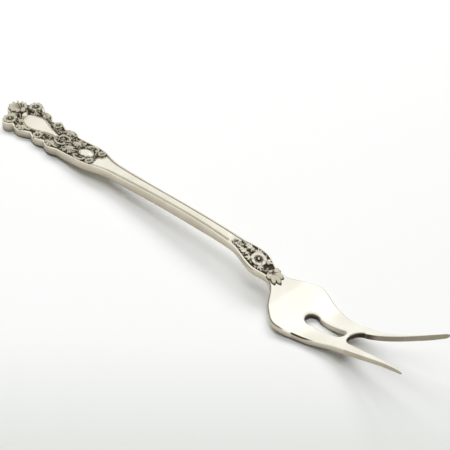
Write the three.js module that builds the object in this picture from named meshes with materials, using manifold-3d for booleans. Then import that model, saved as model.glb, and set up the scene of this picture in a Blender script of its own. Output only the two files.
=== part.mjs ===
// Olive fork: a scalloped terminal, an arched reeded stem, a lozenge shoulder, a pierced bowl and
// two splayed tines, with raised ornament on the terminal, on the throat of the stem and on the shoulder.
// Millimetres. +X runs from the tip of the handle to the points of the tines, +Y is to the left of
// that heading and +Z is up. The origin is on the table, under the middle of the fork's length.

import * as THREE from 'three';
import { mergeVertices } from 'three/addons/utils/BufferGeometryUtils.js';
import Module from 'manifold-3d';

const wasm = await Module();
wasm.setup();

// Terminal
const TERMINAL_THICKNESS = 2.3;
const TERMINAL_LIFT = 0.9;
const TIP_RISE = 0.5;
const SHELL_RISE = 1.2;
const RIM = 0.35;
const FLARE_WIDTH = 10.6;
const EDGE_LOBES = 3;
const LOBE_LENGTH = 6;
const LOBE_RISE = 0.8;

// Stem
const STEM_LENGTH = 65;
const THROAT_MIDDLE = 8.5;
const THROAT_MIDDLE_WIDTH = 8.2;
const THROAT_MIDDLE_HEIGHT = 4.4;
const THROAT_LENGTH = 20;
const THROAT_END_HEIGHT = 5.6;
const THROAT_END_WIDTH = 4.45;
const WAIST_WIDTH = 3.15;
const WAIST_THICKNESS = 2.7;
const WAIST_TO_SHOULDER = 15;
const STEM_END_WIDTH = 3.7;
const STEM_END_THICKNESS = 2.1;
const CREST_HEIGHT = 9.3;
const THREAD_WIDTH = 0.5;
const GROOVE_WIDTH = 0.25;
const GROOVE_DEPTH = 0.3;
const CROWN_RISE = 0.45;
const REED_FADE = 6;

// Shoulder
const SHOULDER_LENGTH = 12;
const SHOULDER_WIDTH = 6.3;
const WIDEST_TO_NECK = 4.5;
const NECK_WIDTH = 3.9;
const NECK_HEIGHT = 6.85;
const NECK_THICKNESS = 1.9;

// Bowl
const BOWL_LENGTH = 26;
const BOWL_WIDTH = 16.8;
const BOWL_THICKNESS = 1.7;
const DISH_DEPTH = 0.4;
const NECK_LENGTH = 1.3;
const HEEL_LENGTH = 5;
const HEEL_WIDTH = 13;
const HEEL_HEIGHT = 3.95;
const WIDEST_DISTANCE = 8.5;
const LOWEST_DISTANCE = 14.5;
const LOWEST_WIDTH = 13.4;
const NOTCH_WIDTH = 4.8;

// Keyhole in the bowl
const SLOT_WIDTH = 2.7;
const HOLE_STEP = 0.4;
const SLOT_LENGTH = 8;
const BRIDGE = 1.3;

// Tines
const TINE_LENGTH = 17.3;
const TINE_ROOT_WIDTH = 2.3;
const TINE_ROOT_HEIGHT = 5.15;
const POINT_HEIGHT = 14;
const POINT_SPREAD = 15.9;
const POINT_WIDTH = 0.3;
const TINE_FRONT_THICKNESS = 1.6;
const POINT_THICKNESS = 1.2;
const TINE_ROLL = THREE.MathUtils.degToRad(16);
const SPLAY_POWER = 1.65;
const TAPER_POWER = 1.45;

// Rounding of the long lower edges
const EDGE_ROUND = 0.35;

// Raised ornament
const ORNAMENT_GAP = 0.25;
const SEAT_GAP = 0.25;
const SHELL_RADIUS = 2.6;
const SHELL_HEIGHT = 1.1;
const FLUTES = 7;
const FLUTE_STEP = THREE.MathUtils.degToRad(20);
const TIP_ROSETTE_RADIUS = 2;
const TIP_ROSETTE_HEIGHT = 0.8;
const TIP_ROSETTE_SETBACK = 2.4;
const EDGE_ROSETTE_RADIUS = 1.1;
const EDGE_HEIGHT = 0.7;
const EDGE_LEAF_WIDTH = 2.1;
const PANEL_WIDTH = 5.4;
const PANEL_HEIGHT = 0.6;
const SCROLL_LENGTH = 4.4;
const SCROLL_WIDTH = 1.9;
const SCROLL_HEIGHT = 0.7;
const THROAT_LEAF_LENGTH = 4.6;
const THROAT_LEAF_WIDTH = 2.2;
const THROAT_LEAF_HEIGHT = 0.7;
const BOSS_LENGTH = 5.4;
const BOSS_WIDTH = 3;
const BOSS_HEIGHT = 0.8;
const THROAT_ROSETTE_RADIUS = 1.15;
const THROAT_ROSETTE_HEIGHT = 0.7;
const SHOULDER_ROSETTE_RADIUS = 1.9;
const SHOULDER_ROSETTE_HEIGHT = 0.9;
const SPRAY_LEAF_LENGTH = 4.6;
const SPRAY_LEAF_WIDTH = 1.5;
const SPRAY_LEAF_HEIGHT = 0.6;
const PALMETTE_LENGTH = 5;
const PALMETTE_WIDTH = 3.6;
const PALMETTE_HEIGHT = 0.6;
const PETALS = 8;
const LEAF_LOBE_TURN = THREE.MathUtils.degToRad(26);

// Proportions of the ornament's forms, as shares of each form's own radius, length, width or height
const PETAL_LENGTH_SHARE = 0.66;
const PETAL_OVERLAP_RATIO = 1.15;
const DOME_SHARE = 0.8;
const LOWER_HEIGHT_SHARE = 0.8;
const FLUTE_OVERLAP_RATIO = 1.3;
const HINGE_LENGTH_SHARE = 0.4;
const HINGE_WIDTH_SHARE = 0.9;
const MIDRIB_SHARE = 0.4;
const LEAF_LOBE_PLACE_SHARES = [-0.24, 0.1];
const LEAF_LOBE_OFFSET_SHARE = 0.24;
const LEAF_LOBE_LENGTH_SHARE = 0.8;
const LEAF_LOBE_WIDTH_SHARE = 0.38;
const SCROLL_LOBES = 5;
const SCROLL_LOBE_LENGTH_SHARE = 0.42;
const CROWN_SHOULDER_SHARE = 0.75;
const PANEL_OUTLINE_SHARES = [[-0.5, 0.1], [-0.38, 0.38], [-0.15, 0.5], [0.2, 0.22], [0.5, 0.05]];
const PANEL_CROWN_SHARES = [[1, 0], [0.85, 0.6], [0.5, 0.9]];

// Steps of the lofted and dished surfaces
const STEM_STEP = 3;
const SHOULDER_STEP = 1.5;
const TINE_STEPS = 8;
const DISH_COLUMNS = 22;
const DISH_ROWS = 14;
const OUTLINE_STEPS = 32;
const ARC_STEPS = 10;
const PANEL_STEPS = 12;
const LOBE_SIDES = 8;
const LOBE_RINGS = 4;

// Places of the tip ornament, counted from the handle's tip
const shellAt = SHELL_RADIUS + RIM;
const tipRosetteAt = shellAt + TIP_ROSETTE_SETBACK;
const tipSpacing = SHELL_RADIUS + RIM + TIP_ROSETTE_RADIUS;
const tipRosetteY = Math.sqrt(tipSpacing ** 2 - TIP_ROSETTE_SETBACK ** 2);
const tipThickness = TERMINAL_THICKNESS + TIP_RISE;
const shellThickness = TERMINAL_THICKNESS + SHELL_RISE;
const lobesAt = tipRosetteAt + TIP_ROSETTE_RADIUS + RIM + ORNAMENT_GAP;
const terminalLength = lobesAt + EDGE_LOBES * LOBE_LENGTH;

// Stations along the fork
const overallLength = terminalLength + STEM_LENGTH + SHOULDER_LENGTH + BOWL_LENGTH + TINE_LENGTH;
const tipX = -overallLength / 2;
const lobesX = tipX + lobesAt;
const stemX = tipX + terminalLength;
const shoulderX = stemX + STEM_LENGTH;
const bowlX = shoulderX + SHOULDER_LENGTH;
const tineX = bowlX + BOWL_LENGTH;
const pointX = tineX + TINE_LENGTH;
const lowestX = bowlX + LOWEST_DISTANCE;
const notchX = tineX - NOTCH_WIDTH / 2;
const frontWidth = NOTCH_WIDTH + 2 * TINE_ROOT_WIDTH;

// Scrolls and panel on the terminal's middle line, with the edge ornament beside them
const scrollX = stemX - ORNAMENT_GAP - SCROLL_LENGTH / 2;
const scrollY = ORNAMENT_GAP + SCROLL_WIDTH / 2;
const panelStart = tipX + 2 * shellAt + ORNAMENT_GAP;
const panelEnd = scrollX - SCROLL_LENGTH / 2 - ORNAMENT_GAP;
const panelX = (panelStart + panelEnd) / 2;
const edgeOrnamentY = scrollY + SCROLL_WIDTH / 2 + ORNAMENT_GAP + EDGE_LEAF_WIDTH / 2;
const edgeLeafLength = LOBE_LENGTH - ORNAMENT_GAP;
const terminalHalfWidth = edgeOrnamentY + EDGE_LEAF_WIDTH / 2 + RIM - LOBE_RISE;

// Places of the throat's ornament, one behind the other
const throatLeafX = stemX + 2 * ORNAMENT_GAP + THROAT_LEAF_LENGTH / 2;
const throatLeafY = THROAT_LEAF_WIDTH / 2 + ORNAMENT_GAP;
const bossHalfLength = Math.max(BOSS_LENGTH, SCROLL_LENGTH) / 2;
const bossX = throatLeafX + THROAT_LEAF_LENGTH / 2 + ORNAMENT_GAP + bossHalfLength;
const throatScrollY = BOSS_WIDTH / 2 + ORNAMENT_GAP + SCROLL_WIDTH / 2;
const throatRosetteX = bossX + bossHalfLength + ORNAMENT_GAP + THROAT_ROSETTE_RADIUS;
const reedX = throatRosetteX + THROAT_ROSETTE_RADIUS + ORNAMENT_GAP;

// Places of the spray on the shoulder
const shoulderRosetteX = bowlX - WIDEST_TO_NECK;
const sprayLeafX = shoulderRosetteX - SHOULDER_ROSETTE_RADIUS - ORNAMENT_GAP - SPRAY_LEAF_LENGTH / 2;
const sprayLeafY = (SPRAY_LEAF_WIDTH + ORNAMENT_GAP) / 2;
const palmetteX = bowlX + PALMETTE_LENGTH / 5;

// Smooth curve through stations [x, value] that doesn't overshoot between them
function through(stations) {
  const last = stations.length - 1;
  const span = (i) => stations[i + 1][0] - stations[i][0];
  const secant = (i) => (stations[i + 1][1] - stations[i][1]) / span(i);
  const slopes = stations.map((station, i) => {
    if (i === 0) return secant(0);
    if (i === last) return secant(last - 1);
    const before = secant(i - 1);
    const after = secant(i);
    if (before * after <= 0) return 0;
    const nearBefore = 2 * span(i) + span(i - 1);
    const nearAfter = span(i) + 2 * span(i - 1);
    return (nearBefore + nearAfter) / (nearBefore / before + nearAfter / after);
  });
  return (x) => {
    let i = 0;
    while (i < last - 1 && x > stations[i + 1][0]) i += 1;
    const t = THREE.MathUtils.clamp((x - stations[i][0]) / span(i), 0, 1);
    const rise = t * t * (3 - 2 * t);
    const leaving = t * (1 - t) * (1 - t) * span(i) * slopes[i];
    const arriving = t * t * (t - 1) * span(i) * slopes[i + 1];
    return (1 - rise) * stations[i][1] + rise * stations[i + 1][1] + leaving + arriving;
  };
}

// Height of the top edges above the table
const edgeHeight = through([
  [lobesX, TERMINAL_THICKNESS],
  [stemX, TERMINAL_THICKNESS + TERMINAL_LIFT],
  [stemX + THROAT_MIDDLE, THROAT_MIDDLE_HEIGHT],
  [stemX + THROAT_LENGTH, THROAT_END_HEIGHT],
  [shoulderX, CREST_HEIGHT],
  [bowlX, NECK_HEIGHT],
  [bowlX + HEEL_LENGTH, HEEL_HEIGHT],
  [lowestX, BOWL_THICKNESS + DISH_DEPTH],
  [tineX, TINE_ROOT_HEIGHT],
  [pointX, POINT_HEIGHT],
]);

const thickness = through([
  [stemX, TERMINAL_THICKNESS],
  [stemX + THROAT_LENGTH, TERMINAL_THICKNESS],
  [shoulderX - WAIST_TO_SHOULDER, WAIST_THICKNESS],
  [shoulderX, STEM_END_THICKNESS],
  [bowlX, NECK_THICKNESS],
  [bowlX + HEEL_LENGTH, BOWL_THICKNESS],
  [tineX, BOWL_THICKNESS],
  [pointX - TINE_LENGTH / 4, TINE_FRONT_THICKNESS],
  [pointX, POINT_THICKNESS],
]);

// Half width of the fork from the end of the terminal to the roots of the tines
const halfWidth = through([
  [stemX, terminalHalfWidth],
  [stemX + THROAT_MIDDLE, THROAT_MIDDLE_WIDTH / 2],
  [stemX + THROAT_LENGTH, THROAT_END_WIDTH / 2],
  [shoulderX - WAIST_TO_SHOULDER, WAIST_WIDTH / 2],
  [shoulderX, STEM_END_WIDTH / 2],
  [bowlX - WIDEST_TO_NECK, SHOULDER_WIDTH / 2],
  [bowlX, NECK_WIDTH / 2],
  [bowlX + NECK_LENGTH, NECK_WIDTH / 2 + EDGE_ROUND],
  [bowlX + HEEL_LENGTH, HEEL_WIDTH / 2],
  [bowlX + WIDEST_DISTANCE, BOWL_WIDTH / 2],
  [lowestX, LOWEST_WIDTH / 2],
  [notchX, frontWidth / 2],
  [tineX, frontWidth / 2],
]);

// Share of the full reeding: none on the throat, all along the stem, none at the shoulder
const reeding = through([
  [reedX, 0],
  [reedX + REED_FADE, 1],
  [shoulderX - REED_FADE, 1],
  [shoulderX, 0],
]);

// Share of the full dish along the bowl
const dishing = through([
  [bowlX, 0],
  [bowlX + HEEL_LENGTH, 0],
  [lowestX, 1],
  [notchX, 0],
  [tineX, 0],
]);

// Closed solid from a geometry whose faces enclose a space
function solidOf(geometry) {
  const bare = geometry.clone();
  bare.deleteAttribute('normal');
  bare.deleteAttribute('uv');
  const merged = mergeVertices(bare);
  return new wasm.Manifold(new wasm.Mesh({
    numProp: 3,
    vertProperties: new Float32Array(merged.attributes.position.array),
    triVerts: new Uint32Array(merged.index.array),
  }));
}

function geometryOf(solid) {
  const mesh = solid.getMesh();
  const geometry = new THREE.BufferGeometry();
  geometry.setAttribute('position', new THREE.BufferAttribute(mesh.vertProperties, 3));
  geometry.setIndex(new THREE.BufferAttribute(mesh.triVerts, 1));
  geometry.computeVertexNormals();
  return geometry;
}

// Even steps from start to end, both included
function steps(start, end, count) {
  return Array.from({ length: count + 1 }, (unused, i) => start + (end - start) * (i / count));
}

// Solid skin through sections [[y, z], ...] at stations x, each section anticlockwise seen from +X
function loft(stations, sectionAt) {
  const sections = stations.map(sectionAt);
  const size = sections[0].length;
  const position = [];
  sections.forEach((section, i) => {
    section.forEach(([y, z]) => position.push(stations[i], y, z));
  });
  const index = [];
  for (let i = 0; i < sections.length - 1; i += 1) {
    for (let j = 0; j < size; j += 1) {
      const here = i * size + j;
      const next = i * size + (j + 1) % size;
      index.push(here, next, here + size, next, next + size, here + size);
    }
  }
  const lastRing = (sections.length - 1) * size;
  const asVectors = (section) => section.map(([y, z]) => new THREE.Vector2(y, z));
  THREE.ShapeUtils.triangulateShape(asVectors(sections[0]), []).forEach(([a, b, c]) => {
    index.push(a, c, b);
  });
  THREE.ShapeUtils.triangulateShape(asVectors(sections.at(-1)), []).forEach(([a, b, c]) => {
    index.push(lastRing + a, lastRing + b, lastRing + c);
  });
  const geometry = new THREE.BufferGeometry();
  geometry.setAttribute('position', new THREE.Float32BufferAttribute(position, 3));
  geometry.setIndex(index);
  geometry.computeVertexNormals();
  return geometry;
}

// Whole section from its right half, listed from the bottom up, and any point on the middle line
function mirrored(rightHalf, middle) {
  const leftHalf = rightHalf.map(([y, z]) => [-y, z]).reverse();
  return [...rightHalf, ...middle, ...leftHalf];
}

// Plate with a straight wall, from a plan outline
function plate(outline, height) {
  return new THREE.ExtrudeGeometry(outline, { depth: height, bevelEnabled: false, curveSegments: ARC_STEPS });
}

function disc(x, y, radius, height) {
  const geometry = new THREE.CylinderGeometry(radius, radius, height, OUTLINE_STEPS);
  geometry.rotateX(Math.PI / 2);
  return geometry.translate(x, y, height / 2);
}

// Half width of the terminal at the hollows of its scalloped edge, flared towards the tip
const flare = through([
  [tipX + shellAt, FLARE_WIDTH / 2],
  [lobesX, FLARE_WIDTH / 2],
  [lobesX + LOBE_LENGTH, terminalHalfWidth],
  [stemX, terminalHalfWidth],
]);

function lobedHalfWidth(x) {
  const phase = Math.max(0, x - lobesX) / LOBE_LENGTH;
  return flare(x) + LOBE_RISE * Math.abs(Math.sin(Math.PI * phase));
}

// How far the terminal has risen off the table, from nothing at its first scallop
function lift(x) {
  return TERMINAL_LIFT * Math.max(0, x - lobesX) / (stemX - lobesX);
}

// Geometry that lies at x on the terminal, with each of its points raised by the lift there
function lifted(geometry, x) {
  const points = geometry.attributes.position;
  for (let i = 0; i < points.count; i += 1) points.setZ(i, points.getZ(i) + lift(x + points.getX(i)));
  geometry.computeVertexNormals();
  return geometry;
}

// Length of the terminal between two places, with its scalloped edges
function terminalStrip(start, end) {
  const stations = steps(start, end, OUTLINE_STEPS);
  const rightEdge = stations.map((x) => new THREE.Vector2(x, -lobedHalfWidth(x)));
  const leftEdge = stations.map((x) => new THREE.Vector2(x, lobedHalfWidth(x))).reverse();
  return plate(new THREE.Shape([...rightEdge, ...leftEdge]), TERMINAL_THICKNESS);
}

function terminalGeometry() {
  const forms = [
    terminalStrip(tipX + shellAt, lobesX),
    lifted(terminalStrip(lobesX, stemX), 0),
    disc(tipX + shellAt, 0, SHELL_RADIUS + RIM, shellThickness),
    disc(tipX + tipRosetteAt, tipRosetteY, TIP_ROSETTE_RADIUS + RIM, tipThickness),
    disc(tipX + tipRosetteAt, -tipRosetteY, TIP_ROSETTE_RADIUS + RIM, tipThickness),
  ];
  return geometryOf(forms.map(solidOf).reduce((whole, form) => whole.add(form)));
}

// Crowned section with a thread along each edge and a groove inside it
function stemSection(x) {
  const w = halfWidth(x);
  const top = edgeHeight(x);
  const bottom = top - thickness(x);
  const share = reeding(x);
  const crownHalf = w - THREAD_WIDTH - GROOVE_WIDTH;
  return mirrored([
    [w - EDGE_ROUND, bottom],
    [w, bottom + EDGE_ROUND],
    [w, top - share * THREAD_WIDTH / 2],
    [w - THREAD_WIDTH / 2, top],
    [w - THREAD_WIDTH, top - share * GROOVE_DEPTH],
    [crownHalf, top],
    [crownHalf / 2, top + share * CROWN_RISE * CROWN_SHOULDER_SHARE],
  ], [[0, top + share * CROWN_RISE]]);
}

function stemGeometry() {
  return loft(steps(stemX, shoulderX, Math.round(STEM_LENGTH / STEM_STEP)), stemSection);
}

function shoulderSection(x) {
  const w = halfWidth(x);
  const top = edgeHeight(x);
  const bottom = top - thickness(x);
  return mirrored([
    [w - EDGE_ROUND, bottom],
    [w, bottom + EDGE_ROUND],
    [w, top],
  ], []);
}

function shoulderGeometry() {
  return loft(steps(shoulderX, bowlX, Math.round(SHOULDER_LENGTH / SHOULDER_STEP)), shoulderSection);
}

// Height of the bowl's upper face
function dishTop(x, y) {
  const across = Math.min(1, Math.abs(y) / halfWidth(x));
  return edgeHeight(x) - DISH_DEPTH * dishing(x) * (1 - across * across);
}

// Dished sheet that the bowl is cut from, wider and longer than the bowl
function sheetGeometry() {
  const margin = BOWL_THICKNESS;
  const reach = BOWL_WIDTH / 2 + margin;
  const rows = steps(-reach, reach, DISH_ROWS);
  return loft(steps(bowlX - margin, tineX + margin, DISH_COLUMNS), (x) => {
    const upper = rows.map((y) => [y, dishTop(x, y)]).reverse();
    const lower = rows.map((y) => [y, dishTop(x, y) - thickness(x)]);
    return [...lower, ...upper];
  });
}

// Plan of the bowl, with the round notch between the tines and the keyhole behind it
function bowlOutline() {
  const stations = steps(bowlX, tineX, OUTLINE_STEPS);
  const outline = new THREE.Shape(stations.map((x) => new THREE.Vector2(x, -halfWidth(x))));
  outline.absarc(tineX, 0, NOTCH_WIDTH / 2, -Math.PI / 2, Math.PI / 2, true);
  stations.reverse().forEach((x) => outline.lineTo(x, halfWidth(x)));
  outline.holes.push(keyhole());
  return outline;
}

function keyhole() {
  const slotRadius = SLOT_WIDTH / 2;
  const holeRadius = slotRadius + HOLE_STEP;
  const slotEnd = notchX - BRIDGE - slotRadius;
  const mouth = Math.asin(slotRadius / holeRadius);
  const path = new THREE.Path();
  path.absarc(slotEnd - SLOT_LENGTH, 0, holeRadius, mouth, 2 * Math.PI - mouth);
  path.absarc(slotEnd, 0, slotRadius, -Math.PI / 2, Math.PI / 2);
  return path;
}

function bowlGeometry() {
  const height = NECK_HEIGHT + TINE_ROOT_HEIGHT;
  const prism = plate(bowlOutline(), height).translate(0, 0, -BOWL_THICKNESS);
  return geometryOf(solidOf(sheetGeometry()).intersect(solidOf(prism)));
}

// One tine, on the side +1 for left or -1 for right, its section rolling outwards towards the point
function tineGeometry(side) {
  const rootY = (NOTCH_WIDTH + TINE_ROOT_WIDTH) / 2;
  const pointY = (POINT_SPREAD - POINT_WIDTH) / 2;
  return loft(steps(tineX, pointX, TINE_STEPS), (x, i) => {
    const along = i / TINE_STEPS;
    const middleY = side * (rootY + (pointY - rootY) * along ** SPLAY_POWER);
    const halfAcross = (POINT_WIDTH + (TINE_ROOT_WIDTH - POINT_WIDTH) * (1 - along) ** TAPER_POWER) / 2;
    const halfDeep = thickness(x) / 2;
    const middleZ = edgeHeight(x) - halfDeep;
    const lean = Math.sin(side * TINE_ROLL * along);
    const upright = Math.cos(TINE_ROLL * along);
    const corners = [[-1, -1], [1, -1], [1, 1], [-1, 1]];
    return corners.map(([across, up]) => [
      middleY + across * halfAcross * upright + up * halfDeep * lean,
      middleZ - across * halfAcross * lean + up * halfDeep * upright,
    ]);
  });
}

// Half-round lobe that lies along its own length
function lobe({ x, y, turn, length, width, height }) {
  const geometry = new THREE.SphereGeometry(1, LOBE_SIDES, LOBE_RINGS);
  geometry.rotateX(Math.PI / 2);
  geometry.scale(length / 2, width / 2, height);
  geometry.rotateZ(turn);
  geometry.translate(x, y, 0);
  return solidOf(geometry);
}

// Lobes joined into one raised ornament with a flat seat at its own height zero
function raised(lobes) {
  const whole = lobes.map(lobe).reduce((joined, next) => joined.add(next));
  const below = new THREE.BoxGeometry(overallLength, overallLength, overallLength);
  below.translate(0, 0, -overallLength / 2);
  return geometryOf(whole.subtract(solidOf(below)));
}

// Rosette of equal petals round a domed centre
function rosette(radius, height) {
  const petalLength = radius * PETAL_LENGTH_SHARE;
  const petalAt = radius - petalLength / 2;
  const petals = steps(0, 2 * Math.PI, PETALS).slice(1).map((turn) => ({
    x: petalAt * Math.cos(turn),
    y: petalAt * Math.sin(turn),
    turn,
    length: petalLength,
    width: 2 * petalAt * Math.sin(Math.PI / PETALS) * PETAL_OVERLAP_RATIO,
    height: height * LOWER_HEIGHT_SHARE,
  }));
  const across = radius * DOME_SHARE;
  const centre = { x: 0, y: 0, turn: 0, length: across, width: across, height };
  return raised([centre, ...petals]);
}

// Fan shell inside a circle, its flutes spreading from a hinge at the back of the circle
function shell(radius, height) {
  const widest = FLUTE_STEP * (FLUTES - 1) / 2;
  const flutes = steps(-widest, widest, FLUTES - 1).map((bearing) => {
    const length = 2 * radius * Math.cos(bearing);
    return {
      x: radius - (length / 2) * Math.cos(bearing),
      y: (length / 2) * Math.sin(bearing),
      turn: -bearing,
      length,
      width: 2 * radius * Math.tan(FLUTE_STEP / 2) * FLUTE_OVERLAP_RATIO,
      height,
    };
  });
  const hinge = {
    x: radius * (1 - HINGE_LENGTH_SHARE / 2),
    y: 0,
    turn: 0,
    length: radius * HINGE_LENGTH_SHARE,
    width: radius * HINGE_WIDTH_SHARE,
    height,
  };
  return raised([hinge, ...flutes]);
}

// Leaf pointing along +X, with a midrib and pairs of side lobes inside its width
function leaf(length, width, height) {
  const midrib = { x: 0, y: 0, turn: 0, length, width: width * MIDRIB_SHARE, height };
  const lobes = LEAF_LOBE_PLACE_SHARES.flatMap((place) => [1, -1].map((side) => ({
    x: place * length,
    y: side * width * LEAF_LOBE_OFFSET_SHARE,
    turn: side * LEAF_LOBE_TURN,
    length: width * LEAF_LOBE_LENGTH_SHARE,
    width: width * LEAF_LOBE_WIDTH_SHARE,
    height: height * LOWER_HEIGHT_SHARE,
  })));
  return raised([midrib, ...lobes]);
}

// Scroll along +X that bows towards its side, swells along its length and ends in a ball
function scroll(length, width, height, side) {
  const ball = width / 2;
  const run = length - ball;
  const bow = width - ball;
  const lobes = steps(0, 1, SCROLL_LOBES - 1).map((share) => ({
    x: run * (share - 1 / 2),
    y: side * bow * (Math.sin(Math.PI * share) - 1 / 2),
    turn: side * Math.atan(Math.PI * bow / run * Math.cos(Math.PI * share)),
    length: share === 1 ? ball : run * SCROLL_LOBE_LENGTH_SHARE,
    width: share === 1 ? ball : ball * (1 + share) / 2,
    height,
  }));
  return raised(lobes);
}

// Pear-shaped plain panel along +X, blunt at its start, with a crowned top
function panel(length, width, height) {
  const half = through(PANEL_OUTLINE_SHARES.map(([along, across]) => [along * length, across * width]));
  return loft(steps(-length / 2, length / 2, PANEL_STEPS), (x) => {
    const rightHalf = PANEL_CROWN_SHARES.map(([across, up]) => [across * half(x), up * height]);
    return mirrored(rightHalf, [[0, height]]);
  });
}

function dome(length, width, height) {
  return raised([{ x: 0, y: 0, turn: 0, length, width, height }]);
}

const fork = new THREE.Group();

// Polished plain metal
function plainSilver() {
  return new THREE.MeshStandardMaterial({ color: 0xe9e3d6, roughness: 0.2, metalness: 1 });
}

// Raised work, duller between its forms
function chasedSilver() {
  return new THREE.MeshStandardMaterial({ color: 0xcdc6b2, roughness: 0.35, metalness: 1 });
}

function addPiece(name, geometry, material) {
  const mesh = new THREE.Mesh(geometry, material);
  mesh.name = name;
  fork.add(mesh);
  return mesh;
}

// Ornament seated on the top of the terminal, and raised with it
function addOnTerminal(name, geometry, x, y, seatHeight = TERMINAL_THICKNESS) {
  const mesh = addPiece(name, lifted(geometry, x), chasedSilver());
  mesh.position.set(x, y, seatHeight);
}

// Ornament laid on the curved top of the stem, shoulder or bowl, tilted to the slope there
function addOnSlope(name, geometry, x, y, turn = 0) {
  const slope = (edgeHeight(x + SEAT_GAP) - edgeHeight(x - SEAT_GAP)) / (2 * SEAT_GAP);
  const mesh = addPiece(name, geometry, chasedSilver());
  mesh.position.set(x, y, edgeHeight(x) + SEAT_GAP);
  mesh.rotation.set(0, -Math.atan(slope), turn, 'YXZ');
}

addPiece('terminal_plate', terminalGeometry(), plainSilver());
addPiece('stem', stemGeometry(), plainSilver());
addPiece('shoulder', shoulderGeometry(), plainSilver());
addPiece('bowl', bowlGeometry(), plainSilver());

addOnTerminal('tip_shell', shell(SHELL_RADIUS, SHELL_HEIGHT), tipX + shellAt, 0, shellThickness);
addOnTerminal('plain_panel', panel(panelEnd - panelStart, PANEL_WIDTH, PANEL_HEIGHT), panelX, 0);
addOnSlope('oval_boss', dome(BOSS_LENGTH, BOSS_WIDTH, BOSS_HEIGHT), bossX, 0);
const shoulderRosette = rosette(SHOULDER_ROSETTE_RADIUS, SHOULDER_ROSETTE_HEIGHT);
addOnSlope('shoulder_rosette', shoulderRosette, shoulderRosetteX, 0);
addOnSlope('neck_palmette', leaf(PALMETTE_LENGTH, PALMETTE_WIDTH, PALMETTE_HEIGHT), palmetteX, 0);

// Leaves and rosettes take turns along the scalloped edge, and follow its flare
function addEdgeOrnament(hand, side) {
  for (let i = 0; i < EDGE_LOBES; i += 1) {
    const isRosette = i % 2 === 1;
    const form = isRosette
      ? rosette(EDGE_ROSETTE_RADIUS, EDGE_HEIGHT)
      : leaf(edgeLeafLength, EDGE_LEAF_WIDTH, EDGE_HEIGHT);
    const name = `${hand}_edge_${isRosette ? 'rosette' : 'leaf'}_${i + 1}`;
    const x = lobesX + (i + 1 / 2) * LOBE_LENGTH;
    const slope = (flare(x + ORNAMENT_GAP) - flare(x - ORNAMENT_GAP)) / (2 * ORNAMENT_GAP);
    const y = edgeOrnamentY + flare(x) - terminalHalfWidth;
    form.rotateZ(side * Math.atan(slope));
    addOnTerminal(name, form, x, side * y);
  }
}

function addThroatOrnament(hand, side) {
  const throatLeaf = leaf(THROAT_LEAF_LENGTH, THROAT_LEAF_WIDTH, THROAT_LEAF_HEIGHT);
  addOnSlope(`${hand}_throat_leaf`, throatLeaf, throatLeafX, side * throatLeafY);
  const throatScroll = scroll(SCROLL_LENGTH, SCROLL_WIDTH, SCROLL_HEIGHT, side);
  addOnSlope(`${hand}_throat_scroll`, throatScroll, bossX, side * throatScrollY);
  const throatRosette = rosette(THROAT_ROSETTE_RADIUS, THROAT_ROSETTE_HEIGHT);
  const throatRosetteY = halfWidth(throatRosetteX) - RIM - THROAT_ROSETTE_RADIUS;
  addOnSlope(`${hand}_throat_rosette`, throatRosette, throatRosetteX, side * throatRosetteY);
}

for (const [hand, side] of [['left', 1], ['right', -1]]) {
  addPiece(`${hand}_tine`, tineGeometry(side), plainSilver());
  const tipRosette = rosette(TIP_ROSETTE_RADIUS, TIP_ROSETTE_HEIGHT);
  addOnTerminal(`${hand}_tip_rosette`, tipRosette, tipX + tipRosetteAt, side * tipRosetteY, tipThickness);
  addEdgeOrnament(hand, side);
  const panelScroll = scroll(SCROLL_LENGTH, SCROLL_WIDTH, SCROLL_HEIGHT, side);
  addOnTerminal(`${hand}_panel_scroll`, panelScroll, scrollX, side * scrollY);
  addThroatOrnament(hand, side);
  const sprayLeaf = leaf(SPRAY_LEAF_LENGTH, SPRAY_LEAF_WIDTH, SPRAY_LEAF_HEIGHT);
  addOnSlope(`${hand}_spray_leaf`, sprayLeaf, sprayLeafX, side * sprayLeafY, Math.PI);
}

export default fork;
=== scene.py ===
"""Visible pieces of a silver olive fork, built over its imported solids, and the stage that it lies on."""

import math

import bmesh
import bpy
import numpy as np
from bpy.props import FloatProperty, FloatVectorProperty, IntProperty, PointerProperty
from mathutils import Matrix, Vector
from mathutils.geometry import delaunay_2d_cdt


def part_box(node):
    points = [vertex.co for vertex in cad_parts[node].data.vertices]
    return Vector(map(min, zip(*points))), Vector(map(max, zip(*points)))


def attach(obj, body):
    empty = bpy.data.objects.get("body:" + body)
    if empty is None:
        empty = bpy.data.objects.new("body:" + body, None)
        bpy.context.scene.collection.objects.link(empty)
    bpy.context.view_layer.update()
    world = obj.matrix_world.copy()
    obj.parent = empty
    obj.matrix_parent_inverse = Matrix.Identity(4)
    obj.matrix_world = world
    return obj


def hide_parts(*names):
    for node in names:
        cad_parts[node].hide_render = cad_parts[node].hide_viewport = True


bl_info = {
    "name": "Olive fork",
    "version": (1, 0, 0),
    "blender": (4, 5, 0),
    "location": "3D View > Sidebar > Olive fork",
    "description": "Builds the visible pieces of a silver olive fork and the stage that it lies on",
    "category": "Object",
}

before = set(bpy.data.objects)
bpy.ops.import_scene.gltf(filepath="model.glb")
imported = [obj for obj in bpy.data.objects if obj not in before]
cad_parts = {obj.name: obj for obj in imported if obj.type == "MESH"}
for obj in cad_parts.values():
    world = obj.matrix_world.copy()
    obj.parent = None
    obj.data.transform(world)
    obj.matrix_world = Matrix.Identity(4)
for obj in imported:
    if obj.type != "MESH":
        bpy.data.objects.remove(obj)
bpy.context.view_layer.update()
MM = 0.001
# Places closer together than this count as one.
TOUCH = 1e-6
BODY = "root"
PLAIN_SLOT = "polished_silver"
CHASED_SLOT = "chased_silver"
HANDS = (("left", 1), ("right", -1))
GOLDEN_ANGLE = math.pi * (3 - math.sqrt(5))
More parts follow.
